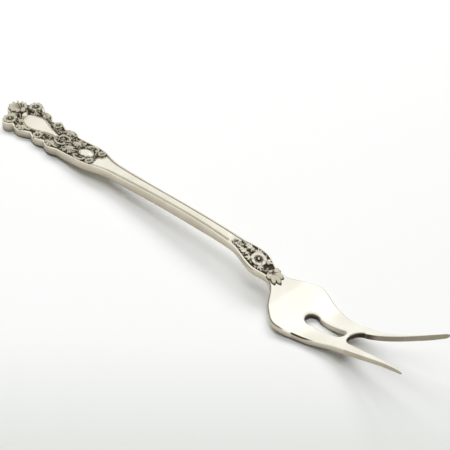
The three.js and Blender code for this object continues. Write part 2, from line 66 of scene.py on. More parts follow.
# How much of the walls' painted shade, and of their extra roughness, the underside has.
UNDERSIDE_SHADE = 0.25
# Height of the scrolls' rods above the surface that they lie on.
SCROLL_LIFT = 0.15 * MM
# Grains or small leaves tried on each square metre of ground, before those too close are left out.
GROUND_DENSITY = 3e7
# Distance of the lamp that the silver mirrors, as a share of the far lamp's.
GLINT_NEARNESS = 0.96
# Width of the camera's sensor, in millimetres.
SENSOR_WIDTH = 36


def start_of(node):
    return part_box(node)[0].x


def end_of(node):
    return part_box(node)[1].x


def length(name, description, metres):
    return FloatProperty(name=name, description=description, default=metres, unit="LENGTH", precision=5)


def share(name, description, value):
    return FloatProperty(name=name, description=description, default=value, subtype="FACTOR", min=0, max=1)


def place(name, description, value):
    return FloatVectorProperty(
        name=name, description=description, default=value, subtype="TRANSLATION", unit="LENGTH", size=3
    )


def colour(name, description, value):
    return FloatVectorProperty(
        name=name, description=description, default=value, subtype="COLOR", size=3, min=0, max=1
    )


def angle(name, description, degrees):
    return FloatProperty(name=name, description=description, default=math.radians(degrees), subtype="ANGLE")


def power(name, lamp, watts):
    return FloatProperty(name=name, description=f"Power of the lamp {lamp}, in watts", default=watts)


class ForkHandleSizes(bpy.types.PropertyGroup):
    """Sizes of the terminal, the stem and the shoulder"""

    tip_x: length("Tip", "Place of the handle's tip", start_of("terminal_plate"))
    stem_x: length("Stem start", "Place where the stem leaves the terminal", start_of("stem"))
    shoulder_x: length("Shoulder start", "Place where the shoulder starts", start_of("shoulder"))
    terminal_thickness: length("Terminal thickness", "Height of the terminal's rim", 2.3 * MM)
    terminal_lift: length("Terminal lift", "Height of its underside where the stem starts", 0.9 * MM)
    tip_rise: length("Tip rise", "Extra height of the discs under the rosettes", 0.5 * MM)
    shell_rise: length("Shell rise", "Extra height of the disc under the shell", 1.2 * MM)
    rim: length("Rim", "Plain rim round the tip ornament", 0.35 * MM)
    flare_width: length("Flare width", "Width of the terminal behind the tip", 10.6 * MM)
    lobe_length: length("Scallop length", "Length of one scallop of the edge", 6 * MM)
    lobe_rise: length("Scallop rise", "How far a scallop stands out", 0.8 * MM)
    terminal_width: length("Terminal width", "Width at the hollows of the scallops", 8.1 * MM)
    throat_middle: length("Throat middle", "Distance of the throat's middle from the terminal", 8.5 * MM)
    throat_middle_width: length("Throat middle width", "Width at the throat's middle", 8.2 * MM)
    throat_middle_height: length("Throat middle height", "Edge height at the throat's middle", 4.4 * MM)
    throat_length: length("Throat length", "Length of the throat", 20 * MM)
    throat_end_height: length("Throat end height", "Edge height at the throat's end", 5.6 * MM)
    throat_end_width: length("Throat end width", "Width at the throat's end", 4.45 * MM)
    waist_width: length("Waist width", "Width at the narrowest place of the stem", 3.15 * MM)
    waist_thickness: length("Waist thickness", "Thickness at that place", 2.7 * MM)
    waist_to_shoulder: length("Waist to shoulder", "Distance of the waist from the shoulder", 15 * MM)
    stem_end_width: length("Stem end width", "Width where the shoulder starts", 3.7 * MM)
    stem_end_thickness: length("Stem end thickness", "Thickness where the shoulder starts", 2.1 * MM)
    crest_height: length("Crest height", "Edge height at the top of the arch", 9.3 * MM)
    crown_rise: length("Crown rise", "How far the stem's crown stands above its edges", 0.5 * MM)
    ground_depth: length("Ground depth", "How deep the ground behind the ornament is sunk", 0.3 * MM)
    shoulder_width: length("Shoulder width", "Greatest width of the shoulder", 6.3 * MM)
    widest_to_neck: length("Widest to neck", "Distance of that place from the neck", 4.5 * MM)
    neck_width: length("Neck width", "Width where the bowl starts", 3.9 * MM)
    neck_height: length("Neck height", "Edge height where the bowl starts", 6.85 * MM)
    neck_thickness: length("Neck thickness", "Thickness where the bowl starts", 1.9 * MM)


class ForkBowlSizes(bpy.types.PropertyGroup):
    """Sizes of the pierced bowl and the tines"""

    bowl_x: length("Bowl start", "Place where the bowl starts", start_of("bowl"))
    tine_x: length("Tine start", "Place of the tines' roots", start_of("left_tine"))
    point_x: length("Points", "Place of the tines' points", end_of("left_tine"))
    bowl_width: length("Bowl width", "Greatest width of the bowl", 16.8 * MM)
    bowl_thickness: length("Bowl thickness", "Thickness of the bowl's metal", 1.7 * MM)
    dish_depth: length("Dish depth", "Depth of the dish below its edges", 0.4 * MM)
    neck_length: length("Neck length", "Length of the straight neck", 1.3 * MM)
    heel_length: length("Heel length", "Distance of the heel from the neck", 5 * MM)
    heel_width: length("Heel width", "Width at the heel", 13 * MM)
    heel_height: length("Heel height", "Edge height at the heel", 3.95 * MM)
    widest_distance: length("Widest distance", "Distance of the greatest width", 8.5 * MM)
    lowest_distance: length("Lowest distance", "Distance of the lowest place", 14.5 * MM)
    lowest_width: length("Lowest width", "Width at the lowest place", 13.4 * MM)
    notch_width: length("Notch width", "Width of the round notch between the tines", 4.8 * MM)
    slot_width: length("Slot width", "Width of the keyhole's slot", 2.7 * MM)
    hole_step: length("Hole step", "How much wider the hole's radius is than the slot's", 0.4 * MM)
    slot_length: length("Slot length", "Distance between the two ends' centres", 8 * MM)
    bridge: length("Bridge", "Metal between the keyhole and the notch", 1.3 * MM)
    root_width: length("Tine root width", "Width of a tine at its root", 2.3 * MM)
    root_height: length("Tine root height", "Height of a tine's top at its root", 5.15 * MM)
    point_height: length("Point height", "Height of a tine's point", 14 * MM)
    point_spread: length("Point spread", "Width over both points", 15.9 * MM)
    point_width: length("Point width", "Width of a point", 0.3 * MM)
    front_thickness: length("Front thickness", "Thickness of a tine three quarters along", 1.6 * MM)
    point_thickness: length("Point thickness", "Thickness of a point", 1.2 * MM)
    tine_roll: angle("Tine roll", "How far a tine's section rolls outwards at its point", 16)
    splay_power: FloatProperty(name="Splay", description="How late a tine turns outwards", default=1.65)
    taper_power: FloatProperty(name="Taper", description="How early a tine narrows", default=1.45)
    edge_round: length("Edge rounding", "Radius of the rounded edges", 0.35 * MM)


class ForkOrnamentSizes(bpy.types.PropertyGroup):
    """Sizes of the raised ornament"""

    gap: length("Gap", "Space between neighbouring forms", 0.25 * MM)
    shell_radius: length("Shell radius", "Radius of the fan shell's circle", 2.6 * MM)
    shell_height: length("Shell height", "Height of the fan shell", 1.1 * MM)
    tip_rosette_radius: length("Tip rosette radius", "Radius of the rosettes at the tip", 2 * MM)
    tip_rosette_height: length("Tip rosette height", "Height of the rosettes at the tip", 0.75 * MM)
    tip_rosette_setback: length("Tip rosette setback", "How far they lie behind the shell", 2.4 * MM)
    edge_rosette_radius: length("Edge rosette radius", "Radius of the rosettes on the edge", 1.4 * MM)
    edge_height: length("Edge height", "Height of the ornament on the edge", 0.65 * MM)
    edge_leaf_width: length("Edge leaf width", "Width of the leaves on the edge", 2.7 * MM)
    panel_width: length("Panel width", "Greatest width of the plain panel", 5.4 * MM)
    panel_height: length("Panel height", "Height of the plain panel", 0.6 * MM)
    scroll_length: length("Scroll length", "Length of a scroll", 4.4 * MM)
    scroll_width: length("Scroll width", "Width of a scroll", 1.9 * MM)
    scroll_height: length("Scroll height", "Thickness of a scroll's rod", 0.6 * MM)
    throat_leaf_length: length("Throat leaf length", "Length of the leaves on the throat", 4.6 * MM)
    throat_leaf_width: length("Throat leaf width", "Width of the leaves on the throat", 2.4 * MM)
    throat_leaf_height: length("Throat leaf height", "Height of the leaves on the throat", 0.55 * MM)
    boss_length: length("Boss length", "Length of the oval boss", 5.4 * MM)
    boss_width: length("Boss width", "Width of the oval boss", 3 * MM)
    boss_height: length("Boss height", "Height of the oval boss", 0.8 * MM)
    throat_rosette_radius: length("Throat rosette radius", "Radius of the throat's rosettes", 1.15 * MM)
    throat_rosette_height: length("Throat rosette height", "Height of the throat's rosettes", 0.55 * MM)
    shoulder_rosette_radius: length("Shoulder rosette radius", "Radius of the shoulder's rosette", 1.9 * MM)
    shoulder_rosette_height: length("Shoulder rosette height", "Height of the shoulder's rosette", 0.7 * MM)
    spray_leaf_length: length("Spray leaf length", "Length of the leaves on the shoulder", 4.6 * MM)
    spray_leaf_width: length("Spray leaf width", "Width of the leaves on the shoulder", 1.7 * MM)
    spray_leaf_height: length("Spray leaf height", "Height of the leaves on the shoulder", 0.5 * MM)
    palmette_length: length("Palmette length", "Length of the palmette on the neck", 5 * MM)
    palmette_height: length("Palmette height", "Height of the palmette on the neck", 0.6 * MM)
    petals: IntProperty(name="Petals", description="Petals in one ring of a rosette", default=8, min=3)
    flutes: IntProperty(name="Flutes", description="Flutes of the fan shell", default=9, min=3)
    leaf_pairs: IntProperty(name="Leaf pairs", description="Pairs of lobes on a leaf", default=4, min=1)
    bead_radius: length("Bead radius", "Radius of the beads round the panel and the boss", 0.17 * MM)
    leaflet_length: length("Leaflet length", "Length of the small leaves on the ground", 1.15 * MM)
    leaflet_height: length("Leaflet height", "Height of those leaves", 0.42 * MM)
    leaflet_spacing: length("Leaflet spacing", "Least distance between two of them", 0.75 * MM)
    grain_radius: length("Grain radius", "Radius of the grains on the matted ground", 0.11 * MM)
    grain_spacing: length("Grain spacing", "Least distance between two grains", 0.3 * MM)


class ForkFinish(bpy.types.PropertyGroup):
    """Colours and polish of the silver"""

    silver: colour("Silver", "Colour of the handle's polished silver", (0.9, 0.865, 0.745))
    # Painted light: the bowl and tines get a brighter copy of the silver, the ornament on the terminal and
    # throat a darker one and the shoulder's ornament a lighter one, standing in for how the light falls on
    # them.
    lit_bowl_silver: colour("Bowl silver", "Colour of the brighter bowl and tines", (0.955, 0.93, 0.825))
    shaded_relief_silver: colour("Relief silver", "Colour of the duller raised ornament", (0.62, 0.585, 0.475))
    lit_shoulder_silver: colour("Shoulder silver", "Colour of the shoulder's ornament", (0.82, 0.785, 0.675))
    # Painted shade: side walls and undersides are darkened towards this colour, standing in for the shaded
    # floor that they mirror.
    wall_shade_tone: colour("Edge tone", "Colour of the less polished side walls", (0.44, 0.385, 0.29))
    recess_tone: colour("Recess tone", "Colour of the darkened recesses", (0.06, 0.044, 0.024))
    relief_recess_tone: colour(
        "Relief recess tone", "Colour of the recesses in the duller ornament", (0.11, 0.1, 0.066)
    )
    polish: share("Polish roughness", "Roughness of the polished faces", 0.24)
    dull: share("Recess roughness", "Roughness of the darkened recesses", 0.55)


class ForkStage(bpy.types.PropertyGroup):
    """Floor, light and camera"""

    floor_tone: colour("Floor", "Colour of the floor", (0.96, 0.965, 0.955))
    # Painted shade: the floor's colour towards the camera, where the light falls off.
    shade_tone: colour("Floor shade", "Colour of the floor towards the camera", (0.72, 0.745, 0.7))
    over_power: power("Overhead light", "overhead", 3.6)
    over_place: place("Overhead place", "Place of the lamp overhead", (0.25, -0.2, 0.9))
    far_power: power("Far light", "beyond the fork", 2.85)
    glint_power: power("Glint", "that the silver mirrors", 0.3)
    far_place: place("Far place", "Place of the lamp beyond the fork", (-0.237, 0.473, 0.789))
    left_power: power("Left light", "past the handle", 4.1)
    left_place: place("Left place", "Place of the lamp past the handle", (-0.6, 0.1, 0.74))
    lamp_side: length("Lamp side", "Side of each square lamp", 0.5)
    sky_fill: share("Sky fill", "Strength of the even light from all round", 0.08)
    camera_place: place(
        "Camera place",
        "Place of the camera",
        (start_of("terminal_plate") + 230.57 * MM, -139.32 * MM, 172.21 * MM),
    )
    camera_azimuth: angle("Azimuth", "Bearing of the camera", 45.84)
    camera_elevation: angle("Elevation", "Tilt of the camera", 38.78)
    camera_roll: angle("Roll", "Roll of the camera", 1.29)
    camera_lens: FloatProperty(
        name="Lens",
        description=f"Focal length for a sensor {SENSOR_WIDTH} mm wide",
        default=88.296,
        unit="CAMERA",
    )


# Sizes for the functions below, which call them h, b and o.
def handle():
    return bpy.context.scene.fork_handle


def bowl():
    return bpy.context.scene.fork_bowl


def ornament():
    return bpy.context.scene.fork_ornament


def finish():
    return bpy.context.scene.fork_finish


def through(stations):
    """Smooth curve through (place, value) stations that doesn't overshoot between them."""
    places, values = np.array(stations, float).T
    span = np.diff(places)
    secant = np.diff(values) / span
    before, after = secant[:-1], secant[1:]
    rising = before * after > 0
    near_before = 2 * span[1:] + span[:-1]
    near_after = span[1:] + 2 * span[:-1]
    blend = near_before / np.where(rising, before, 1) + near_after / np.where(rising, after, 1)
    inner = np.where(rising, (near_before + near_after) / np.where(rising, blend, 1), 0)
    slope = np.concatenate([secant[:1], inner, secant[-1:]])

    def curve(x):
        x = np.asarray(x, float)
        i = np.clip(np.searchsorted(places, x) - 1, 0, len(span) - 1)
        t = np.clip((x - places[i]) / span[i], 0, 1)
        rise = t * t * (3 - 2 * t)
        leaving = t * (1 - t) ** 2 * span[i] * slope[i]
        arriving = t * t * (t - 1) * span[i] * slope[i + 1]
        return (1 - rise) * values[i] + rise * values[i + 1] + leaving + arriving

    return curve


def smooth(low, high, x):
    t = np.clip((np.asarray(x, float) - low) / (high - low), 0, 1)
    return t * t * (3 - 2 * t)


def between(start, full, fading, end, x):
    """Share that rises from nothing at start to one at full, and falls again from fading to end."""
    return smooth(start, full, x) * (1 - smooth(fading, end, x))


class Layout:
    """Places and long curves of the fork, worked out from its sizes."""

    def __init__(self):
        h, b, o = handle(), bowl(), ornament()
        self.shell_x = h.tip_x + o.shell_radius + h.rim
        self.tip_rosette_x = self.shell_x + o.tip_rosette_setback
        apart = o.shell_radius + h.rim + o.tip_rosette_radius
        self.tip_rosette_y = math.sqrt(apart ** 2 - o.tip_rosette_setback ** 2)
        self.lobes_x = self.tip_rosette_x + o.tip_rosette_radius + h.rim + o.gap
        self.edge_lobes = round((h.stem_x - self.lobes_x) / h.lobe_length)
        self.scroll_x = h.stem_x - o.gap - o.scroll_length / 2
        self.scroll_y = o.gap + o.scroll_width / 2
        self.panel_start = self.shell_x + o.shell_radius + h.rim + o.gap
        self.panel_end = self.scroll_x - o.scroll_length / 2 - o.gap
        rim_to_middle = 1.05 * MM
        self.edge_y = h.terminal_width / 2 + h.lobe_rise - h.rim - rim_to_middle
        self.throat_leaf_x = h.stem_x + 2 * o.gap + o.throat_leaf_length / 2
        self.throat_leaf_y = o.throat_leaf_width / 2 + o.gap / 2
        self.boss_x = self.throat_leaf_x + (o.throat_leaf_length + o.boss_length) / 2 + o.gap
        self.throat_scroll_y = o.boss_width / 2 + o.gap + o.scroll_width / 2
        self.throat_rosette_x = self.boss_x + o.boss_length / 2 + o.gap + o.throat_rosette_radius
        self.reed_x = self.throat_rosette_x + o.throat_rosette_radius + o.gap
        self.shoulder_rosette_x = b.bowl_x - h.widest_to_neck
        self.lowest_x = b.bowl_x + b.lowest_distance
        self.notch_x = b.tine_x - b.notch_width / 2
        self.neck_half = h.neck_width / 2
        self.front_half = b.notch_width / 2 + b.root_width
        self.edge_height = through([
            (self.lobes_x, h.terminal_thickness),
            (h.stem_x, h.terminal_thickness + h.terminal_lift),
            (h.stem_x + h.throat_middle, h.throat_middle_height),
            (h.stem_x + h.throat_length, h.throat_end_height),
            (h.shoulder_x, h.crest_height),
            (b.bowl_x, h.neck_height),
            (b.bowl_x + b.heel_length, b.heel_height),
            (self.lowest_x, b.bowl_thickness + b.dish_depth),
            (b.tine_x, b.root_height),
            (b.point_x, b.point_height),
        ])
        self.thickness = through([
            (h.stem_x, h.terminal_thickness),
            (h.stem_x + h.throat_length, h.terminal_thickness),
            (h.shoulder_x - h.waist_to_shoulder, h.waist_thickness),
            (h.shoulder_x, h.stem_end_thickness),
            (b.bowl_x, h.neck_thickness),
            (b.bowl_x + b.heel_length, b.bowl_thickness),
            (b.tine_x, b.bowl_thickness),
            (b.point_x - (b.point_x - b.tine_x) / 4, b.front_thickness),
            (b.point_x, b.point_thickness),
        ])
        self.half_width = through([
            (h.stem_x, h.terminal_width / 2),
            (h.stem_x + h.throat_middle, h.throat_middle_width / 2),
            (h.stem_x + h.throat_length, h.throat_end_width / 2),
            (h.shoulder_x - h.waist_to_shoulder, h.waist_width / 2),
            (h.shoulder_x, h.stem_end_width / 2),
            (self.shoulder_rosette_x, h.shoulder_width / 2),
            (b.bowl_x, h.neck_width / 2),
            (b.bowl_x + b.neck_length, h.neck_width / 2 + b.edge_round),
            (b.bowl_x + b.heel_length, b.heel_width / 2),
            (b.bowl_x + b.widest_distance, b.bowl_width / 2),
            (self.lowest_x, b.lowest_width / 2),
            (self.notch_x, self.front_half),
            (b.tine_x, self.front_half),
        ])
        self.dishing = through([
            (b.bowl_x, 0),
            (b.bowl_x + b.heel_length, 0),
            (self.lowest_x, 1),
            (self.notch_x, 0),
            (b.tine_x, 0),
        ])
        # Places along the panel, as shares of its length, and half widths, as shares of its width.
        panel_shares = ((-0.5, 0.1), (-0.38, 0.38), (-0.15, 0.5), (0.2, 0.22), (0.5, 0.05))
        long = self.panel_end - self.panel_start
        middle = (self.panel_end + self.panel_start) / 2
        self.panel_half = through([
            (middle + along * long, across * o.panel_width) for along, across in panel_shares
        ])
        self.flare = through([
            (self.shell_x, h.flare_width / 2),
            (self.lobes_x, h.flare_width / 2),
            (self.lobes_x + h.lobe_length, h.terminal_width / 2),
            (h.stem_x, h.terminal_width / 2),
        ])

    def crown(self, x):
        """Share of the stem's full crown."""
        start, end = self.reed_x, handle().shoulder_x
        return between(start, start + 6 * MM, end - 1.7 * MM, end - 0.7 * MM, x)

    def thread(self, x):
        """Share of the full thread along each edge."""
        start, end = self.reed_x, bowl().bowl_x
        return between(start - 4 * MM, start + 1 * MM, end - 3 * MM, end, x)

    def accent(self, x):
        """Share of the dark line below the shoulder's edges."""
        start, end = handle().shoulder_x, bowl().bowl_x
        return between(start, start + 5 * MM, end - 4 * MM, end - 2 * MM, x)

    def ground(self, x):
        """Share of the full depth of the sunk ground."""
        start, end = handle().shoulder_x, bowl().bowl_x
        throat = 1 - smooth(self.throat_rosette_x - 1 * MM, self.reed_x + 1 * MM, x)
        shoulder = between(start - 1.9 * MM, start - 0.7 * MM, end - 0.8 * MM, end, x)
        return throat + shoulder

    def ground_shade(self, x):
        """Darkening of the sunk ground, which is fainter where the shoulder starts."""
        start = handle().shoulder_x
        faint = 0.55 * between(start - 3 * MM, start - 2 * MM, start, start + 4 * MM, x)
        return self.ground(x) * (1 - faint)

    def lobed_half_width(self, x):
        """Half width of the terminal with its scallops."""
        h = handle()
        phase = np.maximum(0, x - self.lobes_x) / h.lobe_length
        return self.flare(x) + h.lobe_rise * np.abs(np.sin(np.pi * phase))

    def tip_discs(self):
        """Middle, radius and extra height of the discs under the shell and the tip's rosettes."""
        h, o = handle(), ornament()
        rosette = o.tip_rosette_radius + h.rim
        return (
            (self.shell_x, 0, o.shell_radius + h.rim, h.shell_rise),
            (self.tip_rosette_x, self.tip_rosette_y, rosette, h.tip_rise),
            (self.tip_rosette_x, -self.tip_rosette_y, rosette, h.tip_rise),
        )

    def lift(self, x):
        """How far the terminal has risen off the table, from nothing at its first scallop."""
        h = handle()
        return h.terminal_lift * np.maximum(0, x - self.lobes_x) / (h.stem_x - self.lobes_x)

    def terminal_top(self, x, y):
        """Rim level of the terminal, raised over the discs at the tip."""
        slope_run = 0.7 * MM
        rises = []
        for disc_x, disc_y, radius, rise in self.tip_discs():
            beyond = np.hypot(x - disc_x, y - disc_y) - radius
            rises.append(rise * (1 - smooth(0, slope_run, beyond)))
        return handle().terminal_thickness + self.lift(x) + np.max(rises, axis=0)

    def terminal_ground(self, x, y):
        """Darkening of the terminal's ground, which stays bright close round the plain panel."""
        beside = smooth(0.15 * MM, 0.55 * MM, np.abs(y) - self.panel_half(x))
        below = smooth(self.panel_end - 1 * MM, self.panel_end, x)
        above = 1 - smooth(self.panel_start - 0.2 * MM, self.panel_start + 0.4 * MM, x)
        return np.maximum(np.maximum(beside, below), above)

    def dish_top(self, x, y):
        """Height of the bowl's upper face."""
        across = np.minimum(1, np.abs(y) / self.half_width(x))
        return self.edge_height(x) - bowl().dish_depth * self.dishing(x) * (1 - across * across)

    def seat(self, x, y):
        """Height of the surface that the ornament lies on."""
        h, b = handle(), bowl()
        on_terminal = self.terminal_top(x, y) - h.ground_depth
        on_bar = self.edge_height(x) - h.ground_depth * self.ground(x)
        on_bowl = self.dish_top(x, y)
        return np.where(x < h.stem_x, on_terminal, np.where(x < b.bowl_x, on_bar, on_bowl))


class Skin:
    """Vertices, faces and surface values of one piece while it is put together."""

    def __init__(self):
        self.points = []
        self.faces = []
        self.recess = []
        self.wall = []
        self.count = 0

    def add(self, points, faces, recess, wall=0.0):
        """Adds points and faces, with how dark and how much of a wall each point is."""
        points = np.asarray(points, float).reshape(-1, 3)
        size = len(points)
        self.points.append(points)
        self.faces += [[self.count + i for i in face] for face in faces]
        self.recess.append(np.broadcast_to(np.asarray(recess, float).ravel(), (size,)))
        self.wall.append(np.broadcast_to(np.asarray(wall, float).ravel(), (size,)))
        self.count += size
        return self

    def join(self, other, x, y, turn):
        """Adds another skin, turned about the vertical and moved."""
        c, s = math.cos(turn), math.sin(turn)
        px, py, pz = np.concatenate(other.points).T
        points = np.stack([x + px * c - py * s, y + px * s + py * c, pz], -1)
        return self.add(points, other.faces, np.concatenate(other.recess), np.concatenate(other.wall))

    def moved(self, change):
        """The same skin with its points put through a function."""
        self.points = [change(np.concatenate(self.points))]
        return self

    def make(self, name, material, sharp=math.radians(50)):
        """The piece as an object, with edges left sharp where its faces turn by more than an angle."""
        mesh = bpy.data.meshes.new(name)
        mesh.from_pydata(np.concatenate(self.points).tolist(), [], self.faces)
        for key, parts in (("recess", self.recess), ("wall", self.wall)):
            values = np.clip(np.concatenate(parts), 0, 1).astype(np.float32)
            mesh.attributes.new(key, "FLOAT", "POINT").data.foreach_set("value", values)
        work = bmesh.new()
        work.from_mesh(mesh)
        bmesh.ops.recalc_face_normals(work, faces=work.faces)
        work.to_mesh(mesh)
        work.free()
        mesh.shade_smooth()
        mesh.set_sharp_from_angle(angle=sharp)
        mesh.materials.append(material)
        piece = bpy.data.objects.new(name, mesh)
        bpy.context.scene.collection.objects.link(piece)
        return piece


def settle(piece, slot, *nodes):
    """Puts a finished piece on the fork's body, in place of its solids if it has any."""
    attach(piece, BODY)
    if nodes:
        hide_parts(*nodes)


def ring_steps(rings, ring, start=0):
    """Each point of closed rings laid one after another, but the last, with the next point round its ring."""
    for i in range(rings - 1):
        first = start + i * ring
        for j in range(ring):
            yield first + j, first + (j + 1) % ring


def band_faces(rings, ring, start=0):
    """Faces between closed rings of points, with open ends."""
    return [[here, here + ring, after + ring, after] for here, after in ring_steps(rings, ring, start)]


def loft_faces(stations, ring):
    """Faces between closed rings of points, turned the other way, with both ends capped."""
    faces = [[here, after, after + ring, here + ring] for here, after in ring_steps(stations, ring)]
    faces.append(list(range(ring))[::-1])
    faces.append([(stations - 1) * ring + j for j in range(ring)])
    return faces


def grid_faces(rows, columns, start=0, flip=False):
    """Faces of a grid of points."""
    faces = []
    for i in range(rows - 1):
        for j in range(columns - 1):
            a = start + i * columns + j
            face = [a, a + columns, a + columns + 1, a + 1]
            faces.append(face[::-1] if flip else face)
    return faces


class Wire:
    """An output of a node. Arithmetic on it adds Math nodes to the same tree."""

    def __init__(self, graph, socket):
        self.graph = graph
        self.socket = socket

    def out(self, name):
        return Wire(self.graph, self.socket.node.outputs[name])

    def math(self, operation, *others):
        inputs = dict(enumerate((self, *others)))
        return self.graph.node("ShaderNodeMath", {"operation": operation}, inputs)

    def clamped(self):
        return self.graph.node("ShaderNodeClamp", {}, {"Value": self})

    def __add__(self, other):
        return self.math("ADD", other)

    __radd__ = __add__

    def __mul__(self, other):
        return self.math("MULTIPLY", other)

    __rmul__ = __mul__

    def __sub__(self, other):
        return self.math("SUBTRACT", other)

    def __rsub__(self, other):
        return self * -1 + other

    def __truediv__(self, other):
        return self.math("DIVIDE", other)

    def __rtruediv__(self, other):
        return self ** -1 * other

    def __pow__(self, other):
        return self.math("POWER", other)


class Graph:
    """Nodes of one shader or geometry tree."""

    def __init__(self, tree):
        self.tree = tree

    def node(self, kind, settings=None, inputs=None, output=0):
        """A node of any type, with its settings made first, then its sockets' values or links."""
        node = self.tree.nodes.new(kind)
        for key, value in (settings or {}).items():
            setattr(node, key, value)
        for key, value in (inputs or {}).items():
            if isinstance(value, Wire):
                self.tree.links.new(value.socket, node.inputs[key])
            else:
                node.inputs[key].default_value = value
        return Wire(self, node.outputs[output]) if len(node.outputs) else node

    def ramp(self, value, low, high):
        """Smooth rise from nothing at low to one at high."""
        inputs = {"Value": value, "From Min": low, "From Max": high}
        return self.node("ShaderNodeMapRange", {"interpolation_type": "SMOOTHSTEP"}, inputs)

    def blend(self, factor, first, second):
        """Colour that passes from the first to the second."""
        inputs = {"Factor": factor, "A": first, "B": second}
        return self.node("ShaderNodeMix", {"data_type": "RGBA"}, inputs, "Result")


def graph_of(owner):
    """Empty shader tree of a material or a world."""
    owner.use_nodes = True
    owner.node_tree.nodes.clear()
    return Graph(owner.node_tree)


# Kinds of the geometry trees' inputs that aren't plain numbers.
INPUT_KINDS = {
    "Form": "Object",
    "Path": "Object",
    "Ground": "Object",
    "Count": "Int",
    "Pairs": "Int",
    "Size": "Vector",
    "Finish": "Material",
}


class GeometryTree:
    """A geometry tree with named inputs, whose result is taken out as points and faces."""

    def __init__(self, name, labels, build):
        self.tree = bpy.data.node_groups.new(name, "GeometryNodeTree")
        self.tree.is_modifier = True
        self.keys = {}
        for label in (*labels, "Finish"):
            kind = "NodeSocket" + INPUT_KINDS.get(label, "Float")
            item = self.tree.interface.new_socket(label, in_out="INPUT", socket_type=kind)
            self.keys[label] = item.identifier
        self.tree.interface.new_socket("Geometry", in_out="OUTPUT", socket_type="NodeSocketGeometry")
        graph = Graph(self.tree)
        source = graph.node("NodeGroupInput")
        made = build(graph, source.out)
        solid = graph.node("GeometryNodeRealizeInstances", {}, {"Geometry": made})
        dressed = graph.node(
            "GeometryNodeSetMaterial", {}, {"Geometry": solid, "Material": source.out("Finish")}
        )
        graph.node("NodeGroupOutput", {}, {"Geometry": dressed})

    def grow(self, **values):
        """Points and faces for these input values, with underscores for the spaces of their names."""
        holder = bpy.data.objects.new("growing", bpy.data.meshes.new("growing"))
        bpy.context.scene.collection.objects.link(holder)
        modifier = holder.modifiers.new("Grow", "NODES")
        modifier.node_group = self.tree
        for label, value in values.items():
            modifier[self.keys[label.replace("_", " ")]] = value
        view = bpy.context.evaluated_depsgraph_get()
        mesh = bpy.data.meshes.new_from_object(holder.evaluated_get(view))
        holder.modifiers.remove(modifier)
        if not mesh.polygons:
            raise RuntimeError(f"{self.tree.name} made no faces")
        points = np.empty(len(mesh.vertices) * 3)
        mesh.vertices.foreach_get("co", points)
        faces = [list(face.vertices) for face in mesh.polygons]
        bpy.data.objects.remove(holder)
        bpy.data.meshes.remove(mesh)
        return points.reshape(-1, 3), faces


def placed_forms(graph, points, form, turn, scale):
    """Copies of a form on points, turned about the vertical and scaled."""
    shape = graph.node(
        "GeometryNodeObjectInfo", {"transform_space": "ORIGINAL"}, {"Object": form}, "Geometry"
    )
    heading = graph.node("ShaderNodeCombineXYZ", {}, {"Z": turn})
    rotation = graph.node("FunctionNodeEulerToRotation", {}, {0: heading})
    return graph.node(
        "GeometryNodeInstanceOnPoints",
        {},
        {"Points": points, "Instance": shape, "Rotation": rotation, "Scale": scale},
    )


def path_curve(graph, given):
    """Curve along the edges of the path."""
    path = graph.node("GeometryNodeObjectInfo", {}, {"Object": given("Path")}, "Geometry")
    return graph.node("GeometryNodeMeshToCurve", {}, {"Mesh": path})


def ground_points(graph, given, seed):
    """Points spread over the ground, none closer to another than the spacing."""
    ground = graph.node("GeometryNodeObjectInfo", {}, {"Object": given("Ground")}, "Geometry")
    return graph.node("GeometryNodeDistributePointsOnFaces", {"distribute_method": "POISSON"}, {
        "Mesh": ground,
        "Distance Min": given("Spacing"),
        "Density Max": given("Density"),
        "Seed": seed,
    })


def ring_tree():
    def build(graph, given):
        circle = graph.node(
            "GeometryNodeMeshCircle", {}, {"Vertices": given("Count"), "Radius": given("Radius")}
        )
        index = graph.node("GeometryNodeInputIndex")
        step = 2 * math.pi / given("Count")
        turned = graph.node(
            "GeometryNodeTransform",
            {},
            {"Geometry": circle, "Rotation": graph.node("ShaderNodeCombineXYZ", {}, {"Z": given("Turn")})},
        )
        return placed_forms(graph, turned, given("Form"), index * step + given("Turn"), given("Size"))

    return GeometryTree("Ring of petals", ("Form", "Count", "Radius", "Turn", "Size"), build)


def fan_tree():
    def build(graph, given):
        line = graph.node(
            "GeometryNodeMeshLine", {"mode": "OFFSET"}, {"Count": given("Count"), "Offset": (0, 0, 0)}
        )
        index = graph.node("GeometryNodeInputIndex")
        across = index / (given("Count") - 1) * 2 - 1
        turn = across * given("Spread") / 2
        reach = 1 - across * across * given("Shortening")
        size = graph.node("ShaderNodeVectorMath", {"operation": "MULTIPLY"}, {
            0: given("Size"),
            1: graph.node("ShaderNodeCombineXYZ", {}, {"X": reach, "Y": 1.0, "Z": 1.0}),
        })
        return placed_forms(graph, line, given("Form"), turn, size)

    return GeometryTree("Fan of flutes", ("Form", "Count", "Spread", "Shortening", "Size"), build)


def leaf_tree():
    def build(graph, given):
        lobed_share, first_place = 0.72, -0.42
        step = given("Length") * lobed_share / given("Pairs")
        line = graph.node("GeometryNodeMeshLine", {"mode": "OFFSET"}, {
            "Count": given("Pairs"),
            "Start Location": graph.node("ShaderNodeCombineXYZ", {}, {"X": given("Length") * first_place}),
            "Offset": graph.node("ShaderNodeCombineXYZ", {}, {"X": step}),
        })
        index = graph.node("GeometryNodeInputIndex")
        along = index / (given("Pairs") - 1)
        swell = 1 - (along * 1.5 - 0.55) ** 2 * 0.7
        size = graph.node(
            "ShaderNodeVectorMath", {"operation": "SCALE"}, {0: given("Size"), "Scale": swell}
        )
        join = graph.node("GeometryNodeJoinGeometry")
        joined = join.socket.node.inputs["Geometry"]
        for side in (1, -1):
            lobes = placed_forms(graph, line, given("Form"), given("Turn") * side, size)
            graph.tree.links.new(lobes.socket, joined)
        return join

    return GeometryTree("Leaf of lobes", ("Form", "Pairs", "Length", "Turn", "Size"), build)


